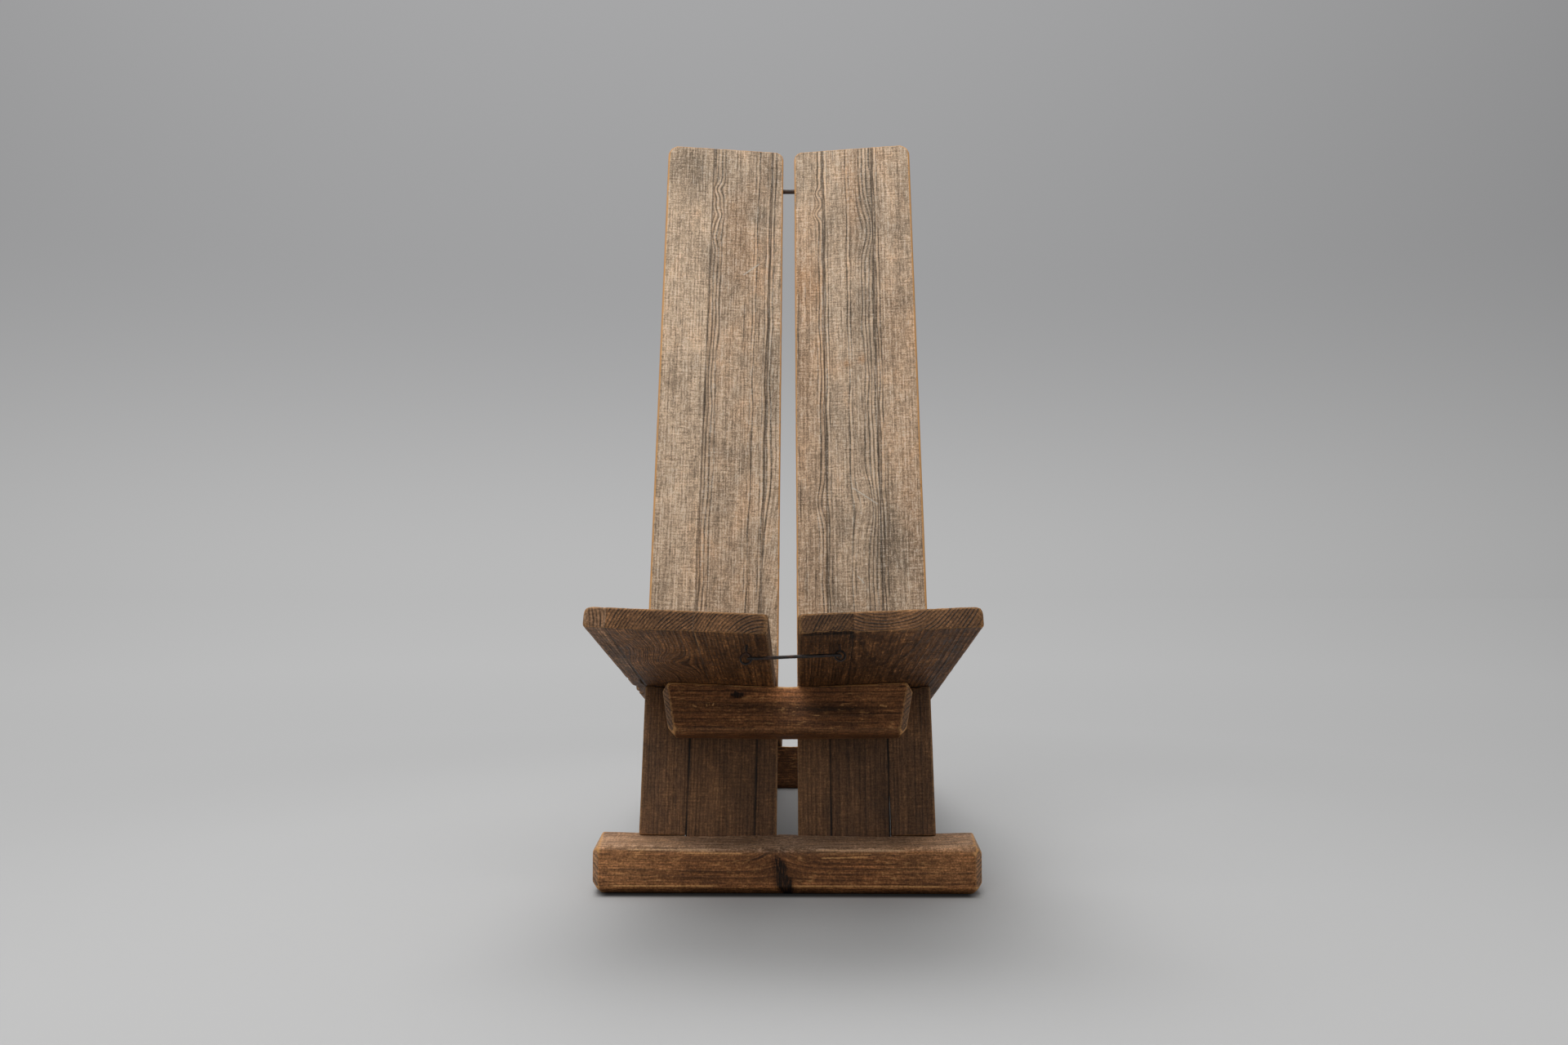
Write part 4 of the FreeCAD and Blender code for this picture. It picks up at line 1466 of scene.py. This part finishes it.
def screw_places(node):
    """Where each screw's head is and which way it faces, read from the CAD node's solids."""
    solid = bmesh.new()
    solid.from_mesh(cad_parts[node].data)
    bmesh.ops.remove_doubles(solid, verts=solid.verts, dist=MERGE_DISTANCE)
    left = set(solid.verts)
    found = []
    while left:
        group, edge = set(), [next(iter(left))]
        while edge:
            vertex = edge.pop()
            if vertex in group:
                continue
            group.add(vertex)
            edge.extend(link.other_vert(vertex) for link in vertex.link_edges)
        left -= group
        places = np.array([vertex.co for vertex in group])
        middle = places.mean(0)
        axis = np.linalg.svd(places - middle, full_matrices=False)[2][0]
        run = (places - middle) @ axis
        away = np.linalg.norm(places - middle - np.outer(run, axis), axis=1)
        head_run = run[away > 0.9 * away.max()]
        if head_run.mean() < 0:
            axis, run = -axis, -run
        base = (places.min(0) + places.max(0)) / 2
        base_run = (base - middle) @ axis
        head = base + axis * (run.max() - base_run)
        found.append((head, axis))
    solid.free()
    found.sort(key=lambda item: tuple(np.round(item[0], 5)))
    return found


def screw_prototype(material):
    """One slotted wood screw, its head's face at Z 0 and its tip down, a little domed and burred."""
    profile = [(share * SCREW_HEAD_RADIUS, height) for share, height in SCREW_DOME]
    profile += [
        (SCREW_SHANK_RADIUS, -SCREW_HEAD_HEIGHT),
        (SCREW_SHANK_RADIUS, -SCREW_SHANK_END),
        (SCREW_TIP_RADIUS, -SCREW_LENGTH),
        (0.0, -SCREW_LENGTH),
    ]
    outline = bmesh.new()
    points = [outline.verts.new((x, 0, z)) for x, z in profile]
    for first, second in zip(points, points[1:]):
        outline.edges.new((first, second))
    bmesh.ops.spin(
        outline,
        geom=outline.verts[:] + outline.edges[:],
        axis=(0, 0, 1),
        cent=(0, 0, 0),
        angle=2 * math.pi,
        steps=SCREW_SIDES,
    )
    bmesh.ops.remove_doubles(outline, verts=outline.verts, dist=MERGE_DISTANCE)
    bmesh.ops.recalc_face_normals(outline, faces=outline.faces)
    mesh = bpy.data.meshes.new("screw_prototype")
    outline.to_mesh(mesh)
    outline.free()
    screw = linked(bpy.data.objects.new("screw_prototype", mesh))
    slot_mesh = bpy.data.meshes.new("slot_cutter")
    cutter = bmesh.new()
    bmesh.ops.create_cube(cutter, size=1)
    bmesh.ops.scale(cutter, vec=SCREW_SLOT, verts=cutter.verts)
    cutter.to_mesh(slot_mesh)
    cutter.free()
    cutter_object = linked(bpy.data.objects.new("slot_cutter", slot_mesh))
    cut = screw.modifiers.new("Slot", "BOOLEAN")
    cut.operation = "DIFFERENCE"
    cut.object = cutter_object
    finished = evaluated_mesh(screw)
    finished.materials.clear()
    finished.materials.append(material)
    screw.modifiers.clear()
    screw.data = finished
    bpy.data.objects.remove(cutter_object)
    return screw


def screws_tree():
    """Stands a screw at each point, along the point's facing, with its slot turned at random."""
    graph, given, identifiers = geometry_tree(
        "Slotted Screws",
        (
            ("Geometry", "Geometry"),
            ("Screw", "Object"),
            ("Scale", "Float"),
            ("Seed", "Int"),
            ("Finish", "Material"),
        ),
    )
    info = graph.node("GeometryNodeObjectInfo")
    graph.feed(info, Object=given["Screw"])
    facing = graph.node("GeometryNodeInputNamedAttribute", data_type="FLOAT_VECTOR")
    graph.feed(facing, Name="facing")
    align = graph.node("FunctionNodeAlignRotationToVector", axis="Z")
    graph.feed(align, Vector=graph.socket(facing.outputs, "Attribute"))
    chance = graph.node("FunctionNodeRandomValue", data_type="FLOAT")
    graph.feed(chance, Min=0.0, Max=math.pi, Seed=given["Seed"])
    spin = graph.node("FunctionNodeAxisAngleToRotation")
    graph.feed(spin, Axis=(0.0, 0.0, 1.0), Angle=graph.socket(chance.outputs, "Value"))
    turn = graph.node("FunctionNodeRotateRotation", rotation_space="LOCAL")
    graph.feed(turn, Rotation=align.outputs[0], Rotate_By=spin.outputs[0])
    stand = graph.node("GeometryNodeInstanceOnPoints")
    graph.feed(stand, Points=given["Geometry"], Instance=graph.socket(info.outputs, "Geometry"))
    scale = graph.combine(given["Scale"], given["Scale"], given["Scale"])
    graph.feed(stand, Rotation=turn.outputs[0], Scale=scale)
    finish_tree(graph, stand.outputs[0], given["Finish"])
    return graph.tree, identifiers


def screws_piece(node, prototype, tree, identifiers, material, seed):
    """The slotted screws of one CAD node."""
    places = screw_places(node)
    mesh = bpy.data.meshes.new(node + "_points")
    mesh.from_pydata([tuple(head) for head, axis in places], [], [])
    store(mesh, "facing", np.array([axis for head, axis in places]))
    points = linked(bpy.data.objects.new(node + "_points", mesh))
    modifier = points.modifiers.new("Slotted Screws", "NODES")
    modifier.node_group = tree
    for label, value in (("Screw", prototype), ("Scale", 1.0), ("Seed", seed), ("Finish", material)):
        modifier[identifiers[label]] = value
    made = evaluated_mesh(points)
    bpy.data.objects.remove(points)
    piece = linked(bpy.data.objects.new("slotted_" + node, made))
    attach(piece, "root")
    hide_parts(node)
    return piece


# Operators of the chair


def settings_of(context):
    return context.scene.lounge_chair


class CHAIR_OT_back_boards(bpy.types.Operator):
    """Makes the eight staves of the two back boards"""

    bl_idname = "lounge_chair.back_boards"
    bl_label = "Back Boards"

    def execute(self, context):
        settings = settings_of(context)
        colours = settings.colours
        material = pine(
            "bleached_pine", colours, colours.sheltered_early, colours.sheltered_late,
            spacing=0.0042, contrast=0.80, flecks=0.1, gold=0.35, end_grey=0.0, end_lines=0.5,
            weave=0.9, specular=0.30,
        )
        for side, word in ((-1, "left"), (1, "right")):
            for number, stave in enumerate(BACK_STAVES[word]):
                seed = settings.seed + number + (10 if side > 0 else 0)
                if "outer" in stave.node:
                    seed = settings.seed + (15 if side > 0 else 5)
                blank = {
                    "start": BACK_LIFT,
                    "length": BACK_LENGTH,
                    "seams": BACK_SEAMS[word],
                    "gap": BACK_SEAM_SHOWN,
                    "dirt": 1.0,
                    "seat_shade_and_soil": BACK_SEAT_SHADE_AND_SOIL[word],
                }
                timber_piece(
                    stave, side, back_matrix(side), material,
                    blank, back_bleach, settings, seed,
                )
        return {"FINISHED"}


class CHAIR_OT_seat_boards(bpy.types.Operator):
    """Makes the seven staves of the two seat boards"""

    bl_idname = "lounge_chair.seat_boards"
    bl_label = "Seat Boards"

    def execute(self, context):
        settings = settings_of(context)
        colours = settings.colours
        material = pine(
            "aged_pine", colours, colours.brown_early, colours.brown_late,
            spacing=0.0034, contrast=1.55, flecks=0.25, gold=0.30, end_grey=0.10, end_lines=0.70,
            weave=1.1, specular=0.18,
        )
        for side, word in ((-1, "left"), (1, "right")):
            for number, stave in enumerate(SEAT_STAVES[word]):
                seed = settings.seed + 20 + number + (10 if side > 0 else 0)
                if "inner" in stave.node:
                    seed = settings.seed + (35 if side > 0 else 25)
                blank = {
                    "start": 0.0,
                    "length": SEAT_LENGTH,
                    "seams": SEAT_SEAMS[word],
                    "gap": SEAT_SEAM_SHOWN,
                    "dirt": 0.7,
                    "seat_shade_and_soil": 0.0,
                }
                timber_piece(
                    stave, side, seat_matrix(side), material,
                    blank, seat_bleach, settings, seed,
                )
        return {"FINISHED"}


class CHAIR_OT_rails(bpy.types.Operator):
    """Makes the two feet and the rail under the seat"""

    bl_idname = "lounge_chair.rails"
    bl_label = "Feet and Rail"

    def execute(self, context):
        settings = settings_of(context)
        colours = settings.colours
        material = pine(
            "worn_rail_pine", colours, colours.red_early, colours.red_late,
            spacing=0.0042, contrast=1.12, flecks=1.0, gold=1.3, end_grey=0.35, end_lines=0.9,
            weave=0.3, specular=0.22,
        )
        for number, stave in enumerate(RAIL_STAVES):
            blank = {"start": 0.0, "length": 1.0, "seams": (), "gap": 0.0, "dirt": 0.0, "seat_shade_and_soil": 0.0}
            timber_piece(
                stave, 1, rail_matrix(stave.node), material,
                blank, rail_bleach, settings, settings.seed + 40 + number,
            )
        return {"FINISHED"}


class CHAIR_OT_ironwork(bpy.types.Operator):
    """Makes the screw eyes, the cabin hook and the tie rod's finish"""

    bl_idname = "lounge_chair.ironwork"
    bl_label = "Hook, Eyes and Rod"

    def execute(self, context):
        settings = settings_of(context)
        colours = settings.colours
        iron = blackened_iron("blackened_iron", colours, colours.iron, 0.42)
        worn_iron("left_screw_eye", "root", iron, settings.seed + 50)
        worn_iron("right_screw_eye", "root", iron, settings.seed + 51)
        worn_iron("cabin_hook", "hook", iron, settings.seed + 52)
        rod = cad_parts["back_tie_rod"]
        steel = blackened_iron("dull_rod_steel", colours, shade(62, 58, 54), 0.34)
        rod.data.materials.clear()
        rod.data.materials.append(steel)
        return {"FINISHED"}


class CHAIR_OT_screws(bpy.types.Operator):
    """Makes the twelve slotted wood screws"""

    bl_idname = "lounge_chair.screws"
    bl_label = "Screws"

    def execute(self, context):
        settings = settings_of(context)
        iron = blackened_iron("screw_iron", settings.colours, settings.colours.iron, 0.45)
        prototype = screw_prototype(iron)
        tree, identifiers = screws_tree()
        nodes = ("front_foot_screws", "seat_support_rail_screws", "rear_foot_screws")
        for number, node in enumerate(nodes):
            screws_piece(node, prototype, tree, identifiers, iron, settings.seed + number)
        bpy.data.objects.remove(prototype)
        return {"FINISHED"}


# Stage


def side_fall(graph, sideways, colour, stops):
    """A colour darker to the sides, more so to the right, as the studio's light falls off."""
    share = graph.math("MAXIMUM", graph.math("MINIMUM", sideways, 1.0), -1.0)
    off_middle = graph.math("ADD", share, 0.2)
    return graph.brighten(colour, graph.product(off_middle, off_middle, stops, -1.0))


def floor_material(stage):
    """Pale floor. Far from the chair the camera and gloss see the backdrop's colour on it."""
    material = new_material("studio_floor")
    graph = Graph(material.node_tree)
    place = graph.node("ShaderNodeTexCoord").outputs["Object"]
    across, depth = graph.split(place)[:2]
    aside = graph.math("ABSOLUTE", across)
    distance = graph.vector("LENGTH", graph.vector("MULTIPLY", place, (1.0, 1.0, 0.0)))

    # Contact shade in front of the front foot, and a softer one between the feet
    low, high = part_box("front_foot_rail")
    off_front = graph.math("SUBTRACT", low.y, depth)
    before = graph.product(
        graph.ramp(off_front, 0.0, CONTACT_REACH, 1.0, 0.0),
        graph.ramp(off_front, -0.05, -0.04),
        graph.ramp(graph.math("SUBTRACT", aside, high.x), -0.020, 0.0, 1.0, 0.0),
        CONTACT_SHADE,
    )
    between_feet = graph.product(
        graph.ramp(aside, 0.05, 0.22, 1.0, 0.0),
        graph.ramp(off_front, -0.60, -0.05, 0.0, BEHIND_SHADE),
        graph.ramp(off_front, -0.05, -0.04, 1.0, 0.0),
    )
    mottled = graph.ramp(graph.noise(place, (3.0, 3.0, 3.0), 3.0), 0.2, 0.8, 0.0, 0.06)
    colour = graph.mix(mottled, stage.floor, (0.5, 0.5, 0.5))
    colour = graph.mix(before, colour, (0.01, 0.01, 0.01))
    colour = graph.mix(between_feet, colour, (0.02, 0.02, 0.022))
    surface = graph.node("ShaderNodeBsdfPrincipled")
    graph.feed(surface, Base_Color=colour)
    surface.inputs["Roughness"].default_value = 0.9
    surface.inputs["Specular IOR Level"].default_value = 0.1

    # What is seen far from the chair: a glow in place of the lit floor, brighter towards the front as
    # painted light, darker near the chair and to the sides as painted shade
    to_rear = graph.math("SUBTRACT", depth, FLOOR_FRONT_Y)
    run = graph.math("MAXIMUM", to_rear, graph.math("MULTIPLY", depth, -1.0))
    run = graph.math("MAXIMUM", run, graph.math("MULTIPLY", aside, LEAST_DEPTH))
    nearness = graph.math("DIVIDE", 1.0, run)
    near_share = graph.ramp(nearness, 0.03, 0.90, smooth=False)
    seen_colour = graph.mix(near_share, stage.backdrop_low, stage.floor_near)
    # Painted shade: darker near the chair, as under its soft shadow
    seen_colour = graph.brighten(seen_colour, graph.ramp(distance, 0.4, 4.5, -0.11, 0.0))
    fall = graph.ramp(nearness, 0.0, 0.9, 0.50, 0.15, smooth=False)
    sideways = graph.math("MULTIPLY", across, nearness)
    glow = graph.node("ShaderNodeEmission")
    graph.feed(glow, Color=side_fall(graph, sideways, seen_colour, fall))

    fade = graph.math("MULTIPLY", graph.ramp(distance, 0.50, 1.6), graph.seen())
    output = graph.node("ShaderNodeOutputMaterial")
    graph.put(output.inputs[0], graph.mix_shaders(fade, surface.outputs[0], glow.outputs[0]))
    return material


def room_light(stage):
    """Even light from all round, and the backdrop's colours where the camera sees it."""
    world = bpy.data.worlds.new("studio")
    bpy.context.scene.world = world
    world.use_nodes = True
    world.node_tree.nodes.clear()
    graph = Graph(world.node_tree)
    direction = graph.node("ShaderNodeTexCoord").outputs["Generated"]
    across, depth, height = graph.split(graph.vector("NORMALIZE", direction))
    backdrop = graph.mix(graph.ramp(height, 0.0, 0.26), stage.backdrop_low, stage.backdrop_high)
    backdrop = graph.mix(graph.ramp(height, 0.25, 0.60), backdrop, stage.backdrop_top)
    deep = graph.math("MAXIMUM", graph.math("ABSOLUTE", depth), LEAST_DEPTH)
    backdrop = side_fall(graph, graph.math("DIVIDE", across, deep), backdrop, 0.52)
    seen_light = graph.node("ShaderNodeBackground")
    graph.feed(seen_light, Color=backdrop, Strength=1.0)
    room = graph.node("ShaderNodeBackground")
    graph.feed(room, Color=(1.0, 1.0, 1.0))
    graph.feed(room, Strength=graph.ramp(height, 0.0, 0.9, 0.5 * stage.sky, 1.6 * stage.sky))
    output = graph.node("ShaderNodeOutputWorld")
    mixed = graph.mix_shaders(graph.seen(), room.outputs[0], seen_light.outputs[0])
    graph.put(output.inputs[0], mixed)


def aimed(name, data, place, direction):
    """A lamp or a camera at a place, looking along a direction."""
    holder = linked(bpy.data.objects.new(name, data))
    holder.location = place
    holder.rotation_euler = Vector(direction).to_track_quat("-Z", "Y").to_euler()
    return holder


def soft_light(name, place, target, size, power):
    lamp = bpy.data.lights.new(name, "AREA")
    lamp.shape = "RECTANGLE"
    lamp.size = size
    lamp.size_y = size
    lamp.energy = power
    aimed(name, lamp, place, Vector(target) - Vector(place))


class CHAIR_OT_stage(bpy.types.Operator):
    """Makes the floor, the lights, the backdrop and the camera"""

    bl_idname = "lounge_chair.stage"
    bl_label = "Stage"

    def execute(self, context):
        stage = settings_of(context).stage
        plane = bpy.data.meshes.new("studio_floor")
        turns = ((-1, -1), (1, -1), (1, 1), (-1, 1))
        corners = [(x * FLOOR_REACH, y * FLOOR_REACH, 0) for x, y in turns]
        plane.from_pydata(corners, [], [(0, 1, 2, 3)])
        plane.materials.append(floor_material(stage))
        floor = linked(bpy.data.objects.new("studio_floor", plane))

        soft_light("key_light", (-1.0, -2.3, 2.9), CHAIR_MIDDLE, 2.2, stage.key_power)
        soft_light("fill_light", (2.4, -1.8, 1.4), CHAIR_MIDDLE, 1.6, stage.fill_power)
        soft_light("top_light", (-0.3, 0.3, 2.8), SEAT_MIDDLE, 2.4, stage.top_power)
        room_light(stage)

        camera = bpy.data.cameras.new("photo_view")
        camera.lens = stage.lens
        camera.sensor_width = SENSOR_WIDTH
        camera.sensor_fit = "HORIZONTAL"
        camera.clip_start = 0.01
        camera.clip_end = 200
        context.scene.camera = aimed("photo_view", camera, CAMERA_PLACE, CAMERA_DIRECTION)
        context.scene.view_settings.view_transform = "Standard"
        return {"FINISHED"}


class CHAIR_PT_panel(bpy.types.Panel):
    """Settings and steps of the lounge chair"""

    bl_idname = "CHAIR_PT_panel"
    bl_label = "Lounge Chair"
    bl_space_type = "VIEW_3D"
    bl_region_type = "UI"
    bl_category = "Lounge Chair"

    def draw(self, context):
        settings = settings_of(context)
        layout = self.layout
        for group in (settings.timber, settings.colours, settings.stage):
            box = layout.box()
            for name in group.bl_rna.properties.keys():
                if name not in ("rna_type", "name"):
                    box.prop(group, name)
        layout.prop(settings, "seed")
        for operator in OPERATORS:
            layout.operator(operator.bl_idname)


OPERATORS = (
    CHAIR_OT_back_boards,
    CHAIR_OT_seat_boards,
    CHAIR_OT_rails,
    CHAIR_OT_ironwork,
    CHAIR_OT_screws,
    CHAIR_OT_stage,
)
CLASSES = (ChairTimber, ChairColours, ChairStage, ChairSettings) + OPERATORS + (CHAIR_PT_panel,)


def register():
    for item in CLASSES:
        bpy.utils.register_class(item)
    bpy.types.Scene.lounge_chair = PointerProperty(type=ChairSettings)


def unregister():
    del bpy.types.Scene.lounge_chair
    for item in reversed(CLASSES):
        bpy.utils.unregister_class(item)


def main():
    register()
    bpy.ops.lounge_chair.stage()
    bpy.ops.lounge_chair.back_boards()
    bpy.ops.lounge_chair.seat_boards()
    bpy.ops.lounge_chair.rails()
    bpy.ops.lounge_chair.ironwork()
    bpy.ops.lounge_chair.screws()


if __name__ == "__main__":
    main()
